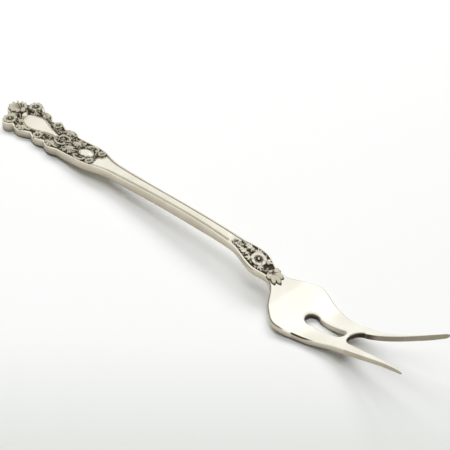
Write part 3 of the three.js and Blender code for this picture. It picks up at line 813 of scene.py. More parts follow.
def bead_tree():
    def build(graph, given):
        curve = path_curve(graph, given)
        points = graph.node(
            "GeometryNodeCurveToPoints", {"mode": "LENGTH"}, {"Curve": curve, "Length": given("Spacing")}
        )
        bead = graph.node(
            "GeometryNodeMeshUVSphere", {}, {"Segments": 8, "Rings": 6, "Radius": given("Radius")}
        )
        return graph.node("GeometryNodeInstanceOnPoints", {}, {"Points": points, "Instance": bead})

    return GeometryTree("Beads on a path", ("Path", "Spacing", "Radius"), build)


def rod_tree():
    def build(graph, given):
        curve = path_curve(graph, given)
        along = graph.node("GeometryNodeSplineParameter", output="Factor")
        swell = 1 - (along * 2 - 1) ** 2 * given("Taper")
        shaped = graph.node("GeometryNodeSetCurveRadius", {}, {"Curve": curve, "Radius": swell})
        profile = graph.node(
            "GeometryNodeCurvePrimitiveCircle", {}, {"Resolution": 8, "Radius": given("Radius")}
        )
        return graph.node("GeometryNodeCurveToMesh", {}, {
            "Curve": shaped,
            "Profile Curve": profile,
            "Scale": swell,
            "Fill Caps": True,
        })

    return GeometryTree("Rod on a path", ("Path", "Radius", "Taper"), build)


def grain_tree():
    def build(graph, given):
        points = ground_points(graph, given, seed=7)
        grain = graph.node("GeometryNodeMeshIcoSphere", {}, {"Radius": given("Radius"), "Subdivisions": 1})
        return graph.node("GeometryNodeInstanceOnPoints", {}, {"Points": points, "Instance": grain})

    return GeometryTree("Grains on the ground", ("Ground", "Spacing", "Density", "Radius"), build)


def leaflet_tree():
    def build(graph, given):
        points = ground_points(graph, given, seed=11)
        index = graph.node("GeometryNodeInputIndex")
        return placed_forms(graph, points, given("Form"), index * GOLDEN_ANGLE, given("Size"))

    labels = ("Ground", "Form", "Spacing", "Density", "Size")
    return GeometryTree("Leaflets on the ground", labels, build)


def loose(name, points, faces, edges=()):
    """An object outside the scene, for the trees to read."""
    mesh = bpy.data.meshes.new(name)
    mesh.from_pydata(np.asarray(points).tolist(), edges, faces)
    return bpy.data.objects.new(name, mesh)


def loose_path(points, closed):
    """A line of edges for a tree to follow."""
    size = len(points)
    edges = [(i, (i + 1) % size) for i in range(size if closed else size - 1)]
    return loose("path", points, [], edges)


class Workshop:
    """Layout, silvers, single forms and geometry trees that the operators share."""

    def __init__(self):
        self.layout = Layout()
        look = finish()
        satin = look.polish + 0.08
        dark, relief_dark = look.recess_tone, look.relief_recess_tone
        # Lit and shaded copies of one silver, as painted light: brighter for the bowl and the shoulder's
        # ornament, darker for the other ornament.
        self.plain = silver_material("plain_silver", look.silver, dark, look.polish, 0.0)
        self.bright = silver_material("bright_silver", look.lit_bowl_silver, dark, satin, 0.0)
        self.chased = silver_material("chased_silver", look.shaded_relief_silver, relief_dark, satin, 1.0)
        self.shoulder = silver_material("lit_shoulder_silver", look.lit_shoulder_silver, dark, satin, 1.0)
        self.petal = loose("petal_form", *cushion(8, 7, petal_half, petal_height, 0.4))
        self.lobe = loose("lobe_form", *cushion(8, 5, lobe_half, lobe_height, 0.5))
        self.flute = loose("flute_form", *cushion(9, 7, flute_half, flute_height, 0.3))
        self.leaflet = loose("leaflet_form", *cushion(5, 3, lobe_half, lobe_height, 0.5))
        self.ring = ring_tree()
        self.fan = fan_tree()
        self.leaf = leaf_tree()
        self.beads = bead_tree()
        self.rod = rod_tree()
        self.grains = grain_tree()
        self.leaflets = leaflet_tree()

    def clear(self):
        """Removes the single forms."""
        for form in (self.petal, self.lobe, self.flute, self.leaflet):
            bpy.data.objects.remove(form)


WORK = {}


def shop():
    """The one workshop, made when it is first asked for."""
    if not WORK:
        WORK["shop"] = Workshop()
    return WORK["shop"]


def cushion(rows, columns, half, height, depth):
    """Closed form along 0 to 1 on X, from its half width, its top and how far it reaches down."""
    u, v = np.meshgrid(np.linspace(0, 1, rows), np.linspace(-1, 1, columns), indexing="ij")
    y = half(u) * v
    top = np.stack([u, y, height(u, v)], -1).reshape(-1, 3)
    bottom = np.stack([u, y, np.full_like(u, -depth)], -1).reshape(-1, 3)
    size = rows * columns
    faces = grid_faces(rows, columns) + grid_faces(rows, columns, size, flip=True)
    rim = [i * columns for i in range(rows)]
    rim += [(rows - 1) * columns + j for j in range(1, columns)]
    rim += [i * columns + columns - 1 for i in range(rows - 2, -1, -1)]
    rim += list(range(columns - 2, 0, -1))
    for a, b in zip(rim, rim[1:] + rim[:1]):
        faces.append([a, a + size, b + size, b])
    return np.concatenate([top, bottom]), faces


# Half widths and tops of the single forms. Along them u runs from 0 to 1, and across them v from -1 to 1.
def petal_half(u):
    widening = 0.3 + 0.7 * smooth(0, 0.62, u)
    rounding = np.clip((u - 0.62) / 0.38, 0, 1) ** 2.4
    return 0.5 * widening * np.sqrt(np.clip(1.03 - rounding, 0, 1))


def petal_height(u, v):
    rise = 0.25 + 0.75 * smooth(0, 0.7, u)
    cup = 1 - 0.3 * (1 - v * v) * (1 - smooth(0.7, 0.95, u))
    return rise * cup * (1 - 0.6 * smooth(0.72, 1, u))


def lobe_half(u):
    return 0.5 * (0.12 + 0.88 * np.sin(np.pi * np.clip(u, 0, 1) ** 0.8) ** 0.8)


def lobe_height(u, v):
    return (0.35 + 0.65 * np.sin(np.pi * u) ** 0.6) * (1 - 0.75 * v * v)


def flute_half(u):
    widening = 0.16 + 0.84 * smooth(0, 0.8, u)
    rounding = np.clip((u - 0.8) / 0.2, 0, 1) ** 2
    return 0.5 * widening * np.sqrt(np.clip(1.02 - rounding, 0, 1))


def flute_height(u, v):
    return (0.45 + 0.55 * smooth(0, 0.75, u)) * (1 - 0.8 * v * v) * (1 - 0.5 * smooth(0.85, 1, u))


def silver_material(name, tone, recess_tone, roughness, chasing):
    """Polished silver with fine wear and smears, walls darkened as painted shade, and recesses darkened with
    patina and, in places, with painted shade.
    """
    look = finish()
    material = bpy.data.materials.new(name)
    graph = graph_of(material)
    position = graph.node("ShaderNodeTexCoord", output="Object")
    recess = graph.node("ShaderNodeAttribute", {"attribute_name": "recess"}, output="Fac")
    wall = graph.node("ShaderNodeAttribute", {"attribute_name": "wall"}, output="Fac")

    def noise(scale, detail, rough=0.5, stretch=(1, 1, 1)):
        stretched = graph.node("ShaderNodeMapping", {}, {"Vector": position, "Scale": stretch})
        return graph.node("ShaderNodeTexNoise", {}, {
            "Vector": stretched,
            "Scale": scale,
            "Detail": detail,
            "Roughness": rough,
        })

    smears = noise(140, 3)
    mottle = noise(1500, 4, 0.6)
    wear = noise(2600, 3, 0.65, (0.06, 1, 1))
    hair = noise(9000, 2, 0.5, (0.03, 1, 1))
    dark = graph.ramp(recess + (mottle - 0.5) * (0.1 + 0.12 * chasing), 0.3, 0.85)
    # Painted shade: the wall attribute darkens walls towards the wall shade colour, mixed with the real
    # smears.
    smears_and_wall_shade = ((smears - 0.35) * 0.5 + wall * 0.85).clamped()
    tint = graph.blend(smears_and_wall_shade, (*tone, 1), (*look.wall_shade_tone, 1))
    base = graph.blend(dark, tint, (*recess_tone, 1))
    wear_and_painted_rim = roughness + (smears - 0.5) * 0.14 + (wear - 0.5) * 0.1 + wall * 0.1
    rough = wear_and_painted_rim + dark * (look.dull - roughness)
    height = hair * 0.35 + wear * 0.65 + mottle * (0.5 + chasing)
    bump = graph.node("ShaderNodeBump", {}, {"Strength": 0.12, "Distance": 0.04 * MM, "Height": height})
    shader = graph.node("ShaderNodeBsdfPrincipled", {}, {
        "Base Color": base,
        "Roughness": rough.clamped(),
        "Metallic": 1 - dark * 0.35,
        "Normal": bump,
    })
    graph.node("ShaderNodeOutputMaterial", {}, {"Surface": shader})
    return material


def outline_normals(loop, keep_x):
    """Inward direction at each point of an anticlockwise loop. Where keep_x is set, only across the fork."""
    ahead = np.roll(loop, -1, 0) - loop
    behind = loop - np.roll(loop, 1, 0)
    ahead /= np.linalg.norm(ahead, axis=1, keepdims=True)
    behind /= np.linalg.norm(behind, axis=1, keepdims=True)
    along = ahead + behind
    along /= np.linalg.norm(along, axis=1, keepdims=True)
    inward = np.stack([-along[:, 1], along[:, 0]], -1)
    inward /= np.maximum(0.75, np.abs(np.sum(inward * np.stack([-ahead[:, 1], ahead[:, 0]], -1), 1)))[:, None]
    level = np.stack([np.zeros(len(loop)), np.sign(inward[:, 1])], -1)
    return np.where(keep_x[:, None], level, inward)


def even_loop(points, spacing):
    """The same open line with its points evenly spaced."""
    points = np.asarray(points, float)
    run = np.concatenate([[0], np.cumsum(np.linalg.norm(np.diff(points, axis=0), axis=1))])
    at = np.linspace(0, run[-1], max(2, int(round(run[-1] / spacing)) + 1))
    return np.stack([np.interp(at, run, points[:, k]) for k in range(2)], -1)


def inside(points, loop):
    """Whether each point lies inside a closed loop."""
    x, y = points[:, :1], points[:, 1:]
    a, b = loop, np.roll(loop, -1, 0)
    spans = (a[:, 1] > y) != (b[:, 1] > y)
    with np.errstate(divide="ignore", invalid="ignore"):
        cross = (b[:, 0] - a[:, 0]) * (y - a[:, 1]) / (b[:, 1] - a[:, 1]) + a[:, 0]
    return np.sum(spans & (x < cross), axis=1) % 2 == 1


def in_plan(points, outer, holes):
    """Whether each point lies inside the outer loop and outside every hole."""
    kept = inside(points, outer)
    for hole in holes:
        kept &= ~inside(points, hole)
    return kept


def far_from(points, loop, distance):
    """Whether each point lies farther than a distance from a loop's points."""
    chunk = 2000
    keep = np.ones(len(points), bool)
    for start in range(0, len(points), chunk):
        part = points[start:start + chunk]
        gaps = np.linalg.norm(part[:, None] - loop[None], axis=2).min(1)
        keep[start:start + chunk] = gaps > distance
    return keep


class EdgedPlate:
    """Plate over a plan with holes: a moulded top edge, a wall and a rounded bottom edge.

    Each loop of the plan comes with how square its edges stay, where they move only across the fork, how dark
    its wall is painted as shade, and how dark the painted line along its top edge is.
    """

    def __init__(self, loops, top, bottom, top_edge, bottom_edge, shade, pitch):
        self.skin = Skin()
        self.top = top
        self.bottom = bottom
        inner_loops = []
        rings = []
        for points, square, keep_x, dark, painted_line in loops:
            inward = outline_normals(points, keep_x)
            eased = 1 - np.asarray(square, float)
            live = np.ceil(eased)
            stack = []
            for step, (inset, drop, recess, wall) in enumerate(top_edge):
                ring = points + inward * (inset * eased)[:, None]
                # Painted line along the top edge, strongest at the middle of the rounding.
                line = math.sin(math.pi * step / (len(top_edge) - 1))
                shaded = np.maximum(recess, np.maximum(dark * wall, painted_line * line))
                stack.append((ring, top(*ring.T) - drop * eased, shaded * live, wall * live))
            for inset, drop, recess, wall in bottom_edge:
                ring = points + inward * (inset * live)[:, None]
                shaded = np.maximum(recess, dark * wall)
                stack.append((ring, bottom(*ring.T) + drop * live, shaded * live, wall * live))
            rings.append(stack)
            inner_loops.append(stack[0][0])
        self.fill(inner_loops, rings, top_edge[0], shade, pitch)

    def fill(self, inner_loops, rings, first_edge, shade, pitch):
        """Fills the upper and the lower face with even triangles, and adds the edges round them."""
        outer, holes = inner_loops[0], inner_loops[1:]
        low, high = outer.min(0), outer.max(0)
        row_share, clear_share = 0.87, 0.6
        xs = np.arange(low[0], high[0], pitch)
        ys = np.arange(low[1], high[1], pitch * row_share)
        lattice = np.stack(np.meshgrid(xs, ys, indexing="ij"), -1)
        lattice[:, ::2, 0] += pitch / 2
        lattice = lattice.reshape(-1, 2)
        keep = in_plan(lattice, outer, holes)
        for loop in inner_loops:
            keep &= far_from(lattice, loop, pitch * clear_share)
        lattice = lattice[keep]
        joined = np.concatenate([*inner_loops, lattice])
        edges = []
        start = 0
        for loop in inner_loops:
            size = len(loop)
            edges += [(start + i, start + (i + 1) % size) for i in range(size)]
            start += size
        # The triangles are made in millimetres, so that their maker's tolerance is far below the pitch.
        per_metre, tolerance = 1000.0, 1e-6
        made = delaunay_2d_cdt([Vector(p * per_metre) for p in joined], edges, [], 1, tolerance)
        flat = np.array([tuple(p) for p in made[0]]) / per_metre
        triangles = [list(t) for t in made[2]]
        kept = in_plan(flat[np.array(triangles)].mean(1), outer, holes)
        triangles = [t for t, wanted in zip(triangles, kept) if wanted]
        sunk = first_edge[1]
        upper = np.column_stack([flat, self.top(*flat.T) - sunk])
        lower = np.column_stack([flat, self.bottom(*flat.T)])
        self.skin.add(upper, triangles, shade(*flat.T), 0)
        self.skin.add(lower, [t[::-1] for t in triangles], 0, UNDERSIDE_SHADE)
        for stack in rings:
            size = len(stack[0][0])
            points = np.concatenate([np.column_stack([ring, z]) for ring, z, _, _ in stack])
            recess = np.concatenate([values for _, _, values, _ in stack])
            wall = np.concatenate([values for _, _, _, values in stack])
            self.skin.add(points, band_faces(len(stack), size), recess, wall)


def rounded(radius, steps):
    """Edge values from the flat face out to the wall: inset, drop, recess and wall."""
    turns = np.linspace(0, math.pi / 2, steps)
    return [
        (radius * (1 - math.sin(t)), radius * (1 - math.cos(t)), 0.0, float(0.75 * smooth(0.6, 1.5, t)))
        for t in turns
    ]


def rounded_foot(radius, steps):
    """Edge values from the wall in to the underside."""
    return [(inset, drop, 0, 1) for inset, drop, _, _ in rounded(radius, steps)[::-1]]


def terminal_outline(layout):
    """Plan of the terminal: the discs at the tip, the scalloped edges and the square end at the stem."""
    h = handle()
    turns = np.linspace(math.pi, 0, 120)
    shell_x, _, shell_r, _ = layout.tip_discs()[0]
    rose_x, rose_y, rose_r, _ = layout.tip_discs()[1]
    shell = np.stack([shell_x + shell_r * np.cos(turns), shell_r * np.sin(turns)], -1)
    turns = np.linspace(1.5 * math.pi, -0.5 * math.pi, 240)
    rose = np.stack([rose_x + rose_r * np.cos(turns), rose_y + rose_r * np.sin(turns)], -1)
    stations = np.linspace(shell_x, h.stem_x, 320)
    core = np.stack([stations, layout.lobed_half_width(stations)], -1)

    def in_disc(points, x, y, r):
        return np.hypot(points[:, 0] - x, points[:, 1] - y) < r

    def in_core(points):
        return (points[:, 0] > shell_x) & (np.abs(points[:, 1]) < layout.lobed_half_width(points[:, 0]))

    shell = shell[~in_disc(shell, rose_x, rose_y, rose_r) & ~in_core(shell)]
    rose = rose[~in_disc(rose, shell_x, 0, shell_r) & ~in_core(rose)]
    core = core[~in_disc(core, shell_x, 0, shell_r) & ~in_disc(core, rose_x, rose_y, rose_r)]
    core = core[core[:, 0] > rose_x]
    upper = even_loop(np.concatenate([shell, rose, core]), 0.16 * MM)
    lower = upper[::-1][:-1] * (1, -1)
    half = upper[-1, 1]
    end = np.stack([np.full(9, h.stem_x), np.linspace(half, -half, 11)[1:-1]], -1)
    return np.concatenate([upper, end, lower])[::-1]


def bowl_outline(layout):
    """Plan of the bowl: its sides, the square end at the neck, and the tines' roots beside the notch."""
    b = bowl()
    xs = np.linspace(b.bowl_x, b.tine_x, 400)
    side = even_loop(np.stack([xs, layout.half_width(xs)], -1), 0.2 * MM)
    radius = b.notch_width / 2
    turns = np.linspace(math.pi / 2, math.pi * 1.5, 44)
    notch = np.stack([b.tine_x + radius * np.cos(turns), radius * np.sin(turns)], -1)
    root = np.linspace(layout.front_half, radius, 8)[1:-1]
    neck = np.linspace(layout.neck_half, -layout.neck_half, 14)[1:-1]
    left_root = np.stack([np.full(len(root), b.tine_x), root], -1)
    right_root = left_root * (1, -1)
    return np.concatenate([
        side[::-1],
        np.stack([np.full(len(neck), b.bowl_x), neck], -1),
        side * (1, -1),
        right_root,
        notch[::-1],
        left_root[::-1],
    ])


def keyhole_outline(layout):
    """Plan of the keyhole: a round hole that opens into a slot with a round end."""
    b = bowl()
    slot_r = b.slot_width / 2
    hole_r = slot_r + b.hole_step
    slot_end = layout.notch_x - b.bridge - slot_r
    hole_x = slot_end - b.slot_length
    mouth = math.asin(slot_r / hole_r)
    turns = np.linspace(mouth, 2 * math.pi - mouth, 50)
    hole = np.stack([hole_x + hole_r * np.cos(turns), hole_r * np.sin(turns)], -1)
    turns = np.linspace(-math.pi / 2, math.pi / 2, 30)
    end = np.stack([slot_end + slot_r * np.cos(turns), slot_r * np.sin(turns)], -1)
    ring = np.concatenate([hole, end, hole[:1]])
    return even_loop(ring, 0.14 * MM)[:-1][::-1]


class FORK_OT_terminal(bpy.types.Operator):
    """Build the scalloped plate at the end of the handle"""

    bl_idname = "fork.terminal"
    bl_label = "Terminal plate"

    def execute(self, context):
        h, layout = handle(), shop().layout
        loop = terminal_outline(layout)
        at_stem = loop[:, 0] > h.stem_x - TOUCH
        square = at_stem & (np.abs(loop[:, 1]) < h.terminal_width / 2 - TOUCH)
        rim_round = 0.3 * MM
        # Inset, drop, recess and wall of the slope from the sunk ground up to the rim.
        slope = [
            (0.85 * MM, h.ground_depth, 1.0, 0),
            (0.62 * MM, h.ground_depth, 1.0, 0),
            (0.5 * MM, 0.4 * h.ground_depth, 0.55, 0),
            (0.42 * MM, 0.08 * h.ground_depth, 0.1, 0),
        ]
        # Painted shade: the terminal's walls are darkened towards the recess colour as well as the wall shade
        # colour.
        painted_wall_shade = 0.52
        plate = EdgedPlate(
            [(loop, square, at_stem, painted_wall_shade, 0)],
            layout.terminal_top,
            lambda x, y: layout.lift(x),
            slope + rounded(rim_round, 6),
            rounded_foot(rim_round, 5),
            layout.terminal_ground,
            0.4 * MM,
        )
        settle(plate.skin.make("terminal_plate_skin", shop().plain), PLAIN_SLOT, "terminal_plate")
        return {"FINISHED"}


def bar_section(layout, xs):
    """Points, recess and wall values of the stem's and the shoulder's sections, ring by ring."""
    h, r = handle(), bowl().edge_round
    w, top = layout.half_width(xs), layout.edge_height(xs)
    bottom = top - layout.thickness(xs)
    cut, crown, ground = layout.thread(xs), layout.crown(xs), layout.ground(xs)
    shade = layout.ground_shade(xs)
    reed = cut * (1 - ground)
    width = np.minimum(0.28 * w, 0.56 * MM)
    half = width / 2
    groove = np.minimum(0.1 * w, 0.18 * MM)
    bead = np.minimum(0.1 * w, 0.18 * MM)
    lip = np.minimum(0.06 * w, 0.1 * MM)
    groove_depth = 0.3 * MM
    groove_hollow = 0.04 * MM
    bead_rise = groove_depth - 0.1 * MM
    crown_foot = 0.22 * MM
    accent_drop = 0.12 * MM
    quarter = math.pi / 2
    rows = []

    def row(y, z, recess, wall=0.0):
        rows.append((y, z, recess + 0 * w, wall + 0 * w))

    # The underside, the rounded bottom edge and the wall, with painted shade that deepens towards the foot.
    row(0 * w, bottom, 0, UNDERSIDE_SHADE)
    row(0.5 * (w - r), bottom, 0, UNDERSIDE_SHADE)
    for t in np.linspace(0, quarter, 5):
        out = math.sin(t)
        wall = UNDERSIDE_SHADE + (1 - UNDERSIDE_SHADE) * out
        row(w - r + r * out, bottom + r * (1 - math.cos(t)), 0.44 * out, wall)
    row(w, (bottom + r + top - half) / 2, 0, 0.9)
    row(w, top - half - accent_drop, 0.8 * layout.accent(xs), 0.7)

    # The thread, out and over, with painted shade on its outer flank, and its fall to the groove.
    for t in np.linspace(0, quarter, 6):
        wall = float(0.7 * (1 - smooth(0.3, 1.3, t)))
        row(w - half * (1 - math.cos(t)), top - half * (1 - math.sin(t)), 0, wall)
    for t in np.linspace(0, quarter, 5)[1:]:
        down = 1 - math.cos(t)
        fall = cut * groove_depth * down + ground * h.ground_depth * down * (1 - cut)
        depth = float(0.75 * smooth(0.1, 0.7, t) + 0.25 * smooth(0.9, 1.5, t))
        row(w - half * (1 + math.sin(t)), top - fall, np.maximum(0.66 * cut, shade) * depth)

    # The groove and the reed beside it.
    floor = top - cut * groove_depth - ground * h.ground_depth * (1 - cut)
    row(w - width - groove / 2, floor - groove_hollow * cut, np.maximum(0.86 * reed, shade))
    first = w - width - groove
    row(first, floor, np.maximum(0.8 * reed, shade))
    for t in np.linspace(0, math.pi, 6)[1:-1]:
        tone = shade + reed * (0.28 + 0.3 * (1 - math.sin(t)))
        row(first - bead / 2 * (1 - math.cos(t)), floor + reed * bead_rise * math.sin(t), tone)

    # The crown, or the flat ground under the ornament.
    level = top - ground * h.ground_depth
    base = level - reed * crown_foot
    second = first - bead
    row(second, base, np.maximum(0.82 * reed, shade))
    inner = second - lip
    row(inner, base, np.maximum(0.7 * reed, shade))
    for t in np.linspace(0, quarter, 9)[1:]:
        arch = crown * (h.crown_rise + crown_foot) * math.sin(t)
        rest = (1 - crown) * (level - base) * min(1.0, 3 * math.sin(t))
        row(inner * math.cos(t), base + arch + rest, shade)

    right = np.array(rows)
    left = right[1:-1][::-1].copy()
    left[:, 0] *= -1
    y, z, recess, wall = np.concatenate([right, left]).transpose(1, 2, 0)
    return np.stack([np.broadcast_to(xs[:, None], y.shape), -y, z], -1), recess, wall


class FORK_OT_stem(bpy.types.Operator):
    """Build the reeded stem and the lozenge shoulder"""

    bl_idname = "fork.stem"
    bl_label = "Stem and shoulder"

    def execute(self, context):
        h, b, layout = handle(), bowl(), shop().layout
        for node, start, end, step in (
            ("stem", h.stem_x, h.shoulder_x, 0.3 * MM),
            ("shoulder", h.shoulder_x, b.bowl_x, 0.2 * MM),
        ):
            xs = np.linspace(start, end, int(round((end - start) / step)) + 1)
            points, recess, wall = bar_section(layout, xs)
            faces = loft_faces(len(xs), points.shape[1])
            skin = Skin().add(points, faces, recess, wall)
            settle(skin.make(f"{node}_skin", shop().plain, math.radians(85)), PLAIN_SLOT, node)
        return {"FINISHED"}


class FORK_OT_bowl(bpy.types.Operator):
    """Build the dished bowl with its keyhole and notch"""

    bl_idname = "fork.bowl"
    bl_label = "Pierced bowl"

    def execute(self, context):
        b, layout = bowl(), shop().layout
        outer, hole = bowl_outline(layout), keyhole_outline(layout)
        x, y = outer.T
        across = np.abs(y)
        notch_half = b.notch_width / 2
        at_tine = x > b.tine_x - TOUCH
        at_neck = x < b.bowl_x + TOUCH
        at_corner = (np.abs(across - layout.front_half) < TOUCH) | (np.abs(across - notch_half) < TOUCH)
        butting = (at_tine & ~at_corner) | (at_neck & (across < layout.neck_half - TOUCH))
        in_notch = (across < notch_half + TOUCH) & (x > layout.notch_x - TOUCH)
        plain = np.zeros(len(hole), bool)

        # Painted shade on the walls, deepest in the notch and at the keyhole's round end, and painted dark
        # lines along the top edges: on the near side from the neck onwards, and fainter along the far side.
        # Painted shade in the notch, darker towards the tines.
        notch_shade = 1 + 0.35 * smooth(0, notch_half, x - layout.notch_x)
        # Painted shade on the keyhole's wall, darkest at the round hole and lighter towards the slot's end.
        keyhole_shade = 0.84 - 0.4 * smooth(0.1, 0.5, (hole[:, 0] - hole[:, 0].min()) / np.ptp(hole[:, 0]))
        along = x - b.bowl_x
        # Painted reflection: a dark line on the near rim, with the wall below it darkened as painted shade.
        painted_dark_reflection = between(12.2 * MM, 13.4 * MM, 15 * MM, 21 * MM, along)
        # Painted shade: a dark line along the near rim, from the neck.
        wear_and_painted_rim = 0.72 * (1 - smooth(10 * MM, 13 * MM, along))
        near = y < 0
        painted_rim_lines = np.where(near, np.maximum(wear_and_painted_rim, painted_dark_reflection), 0.62)
        painted_wall_shade = np.where(in_notch, notch_shade, np.where(near, 0.52 * painted_dark_reflection, 0))

        # The rounding of the top edge tightens to the tines' own before it reaches them.
        edge = 0.55 * MM
        tighter = (1 - b.edge_round / edge) * smooth(b.tine_x - 6 * MM, b.tine_x, x)
        square = np.maximum(butting, tighter)
        plate = EdgedPlate(
            [(outer, square, at_tine | at_neck, painted_wall_shade, painted_rim_lines), (hole, plain, plain, keyhole_shade, 0)],
            layout.dish_top,
            lambda px, py: layout.dish_top(px, py) - layout.thickness(px),
            rounded(edge, 9),
            rounded_foot(b.edge_round, 6),
            lambda px, py: np.zeros_like(px),
            0.5 * MM,
        )
        settle(plate.skin.make("bowl_skin", shop().bright), PLAIN_SLOT, "bowl")
        return {"FINISHED"}


def tine_points(layout, side):
    """Points, wall and recess values of a tine's sections, from its root to its rounded point."""
    b = bowl()
    cap = 0.05
    shaft_rows, cap_rows, sides = 60, 10, 32
    rounding = np.sin(np.linspace(0, math.pi / 2, cap_rows))[1:]
    along = np.concatenate([np.linspace(0, 1 - cap, shaft_rows), 1 - cap + cap * rounding])
    xs = b.tine_x + (b.point_x - b.tine_x) * along
    root_y = (b.notch_width + b.root_width) / 2
    point_y = (b.point_spread - b.point_width) / 2
    middle_y = side * (root_y + (point_y - root_y) * along ** b.splay_power)
    across = (b.point_width + (b.root_width - b.point_width) * (1 - along) ** b.taper_power) / 2
    deep = layout.thickness(xs) / 2
    middle_z = layout.edge_height(xs) - deep
    close = np.sqrt(np.clip(1 - (np.clip(along - (1 - cap), 0, 1) / cap) ** 2, 0, 1))
    close = np.maximum(close, 0.05)
    across, deep = across * close, deep * close
    corner = np.minimum(b.edge_round, 0.95 * np.minimum(across, deep))
    lean = side * b.tine_roll * along
    # Painted shade on the faces that look into the gap between the tines, darkest just past the roots, with a
    # lighter painted highlight right at the roots. The undersides take part of the wall shade.
    inner_shade = 0.5 + 0.24 * (1 - smooth(0.04, 0.18, along)) - 0.12 * (1 - smooth(0, 0.03, along))
    ring, wall, recess = [], [], []
    for turn in np.linspace(0, 2 * math.pi, sides + 1)[:-1] + math.pi / sides:
        c, s = math.cos(turn), math.sin(turn)
        y = math.copysign(1, c) * (across - corner) + corner * c
        z = math.copysign(1, s) * (deep - corner) + corner * s
        rolled_y = middle_y + y * np.cos(lean) + z * np.sin(lean)
        rolled_z = middle_z - y * np.sin(lean) + z * np.cos(lean)
        ring.append(np.stack([xs, rolled_y, rolled_z], -1))
        upright = 1 - float(smooth(0.35, 0.85, abs(s)))
        on_top, inside_face = s > 0, c * side < 0
        wall.append(np.full(len(xs), upright if on_top else 0.7 + 0.3 * upright))
        recess.append(inner_shade * (upright if on_top else 1) if inside_face else 0 * along)
    return np.stack(ring, 1), np.stack(wall, 1), np.stack(recess, 1)


class FORK_OT_tines(bpy.types.Operator):
    """Build the two tines"""

    bl_idname = "fork.tines"
    bl_label = "Tines"

    def execute(self, context):
        for hand, side in HANDS:
            points, wall, recess = tine_points(shop().layout, side)
            skin = Skin().add(points, loft_faces(*points.shape[:2]), recess, wall)
            settle(skin.make(f"{hand}_tine_skin", shop().bright), PLAIN_SLOT, f"{hand}_tine")
        return {"FINISHED"}


def depth_recess(points, height, floor, crest):
    """Darkening of a raised form, full below one share of its height and none above another."""
    return 1 - smooth(floor * height, crest * height, points[:, 2])


def dome(length_x, width, height, sides=32, rings=9):
    """Half-round form with a closed underside."""
    turns = np.linspace(0, 2 * math.pi, sides, endpoint=False)
    lifts = np.linspace(0, math.pi / 2, rings)[:-1]
    points = [(0, 0, height)]
    for lift in lifts[::-1]:
        for t in turns:
            points.append((
                length_x / 2 * math.cos(lift) * math.cos(t),
                width / 2 * math.cos(lift) * math.sin(t),
                height * math.sin(lift),
            ))
    faces = [[0, 1 + j, 1 + (j + 1) % sides] for j in range(sides)]
    faces += band_faces(len(lifts), sides, 1)
    first = 1 + (len(lifts) - 1) * sides
    faces.append([first + j for j in range(sides)][::-1])
    return np.array(points), faces


def rosette_skin(radius, height):
    """Two rings of cupped petals with sepals between them, round a domed centre, on a low disc."""
    work, o = shop(), ornament()
    skin = Skin()
    skin.add(*dome(1.9 * radius, 1.9 * radius, 0.2 * height, 24, 4), 1)
    petal = 0.74 * radius
    wide = 2 * (radius - 0.35 * petal) * math.sin(math.pi / o.petals) * 1.1
    between_petals = math.pi / o.petals
    # Form, distance from the middle, turn, size, shares for the recess and its least value.
    rings = (
        (work.petal, 0.27, 0.0, (petal, wide, height), (0.4, 0.66), 0),
        (work.lobe, 0.55, between_petals, (0.44 * radius, 0.34 * radius, 0.62 * height), (0.3, 0.8), 0),
        (work.petal, 0.16, between_petals, (0.4 * radius, 0.62 * wide, 0.72 * height), (0.5, 0.9), 0.66),
    )
    for form, reach, turn, size, shares, least in rings:
        points, faces = work.ring.grow(
            Form=form, Count=o.petals, Radius=reach * radius, Turn=turn, Size=size
        )
        skin.add(points, faces, np.maximum(least, depth_recess(points, size[2], *shares)))
    centre, faces = dome(0.4 * radius, 0.4 * radius, 0.9 * height, 16, 6)
    skin.add(centre, faces, depth_recess(centre, 0.9 * height, 0.4, 0.85))
    return skin


def leaf_skin(long, wide, height):
    """Leaf along +X with a midrib and pairs of lobes."""
    work, o = shop(), ornament()
    skin = Skin()
    skin.add(*dome(0.94 * long, 0.8 * wide, 0.25 * height, 24, 4), 1)
    turn = math.radians(38)
    lobe = 0.5 * wide / math.sin(turn) * 0.9
    lobes, faces = work.leaf.grow(
        Form=work.lobe,
        Pairs=o.leaf_pairs,
        Length=long,
        Turn=turn,
        Size=(lobe, 0.62 * lobe, 0.85 * height),
    )
    skin.add(lobes, faces, depth_recess(lobes, 0.85 * height, 0.4, 0.85))
    rib, faces = cushion(12, 5, lobe_half, lobe_height, 0.5)
    rib = (rib - (0.5, 0, 0)) * (long, 0.3 * wide, height)
    skin.add(rib, faces, depth_recess(rib, height, 0.35, 0.7))
    return skin


def fan_skin(form, long, height, spread, shortening, flutes, wide, margin):
    """Fan of forms along +X from a hinge at the origin, on a dark foot that shows round them."""
    fan = {"Form": form, "Count": flutes, "Spread": spread, "Shortening": shortening}
    skin = Skin()
    foot, faces = shop().fan.grow(**fan, Size=(long + margin, wide + 2 * margin, 0.16 * height))
    skin.add(foot, faces, 1)
    points, faces = shop().fan.grow(**fan, Size=(long, wide, height))
    skin.add(points, faces, depth_recess(points, height, 0.3, 0.75))
    knob, faces = dome(0.26 * long, 0.34 * long, 1.05 * height, 20, 6)
    skin.add(knob, faces, depth_recess(knob, height, 0.3, 0.7))
    return skin


def spray_skin(long, height):
    """Three small lobes spread from one place, with a berry at their foot."""
    work = shop()
    skin = Skin()
    lobes, faces = work.fan.grow(
        Form=work.lobe,
        Count=3,
        Spread=math.radians(84),
        Shortening=0.25,
        Size=(long, 0.36 * long, height),
    )
    skin.add(lobes, faces, depth_recess(lobes, height, 0.4, 0.8))
    berry, faces = dome(0.34 * long, 0.34 * long, 1.1 * height, 12, 5)
    return skin.add(berry, faces, depth_recess(berry, height, 0.3, 0.7))


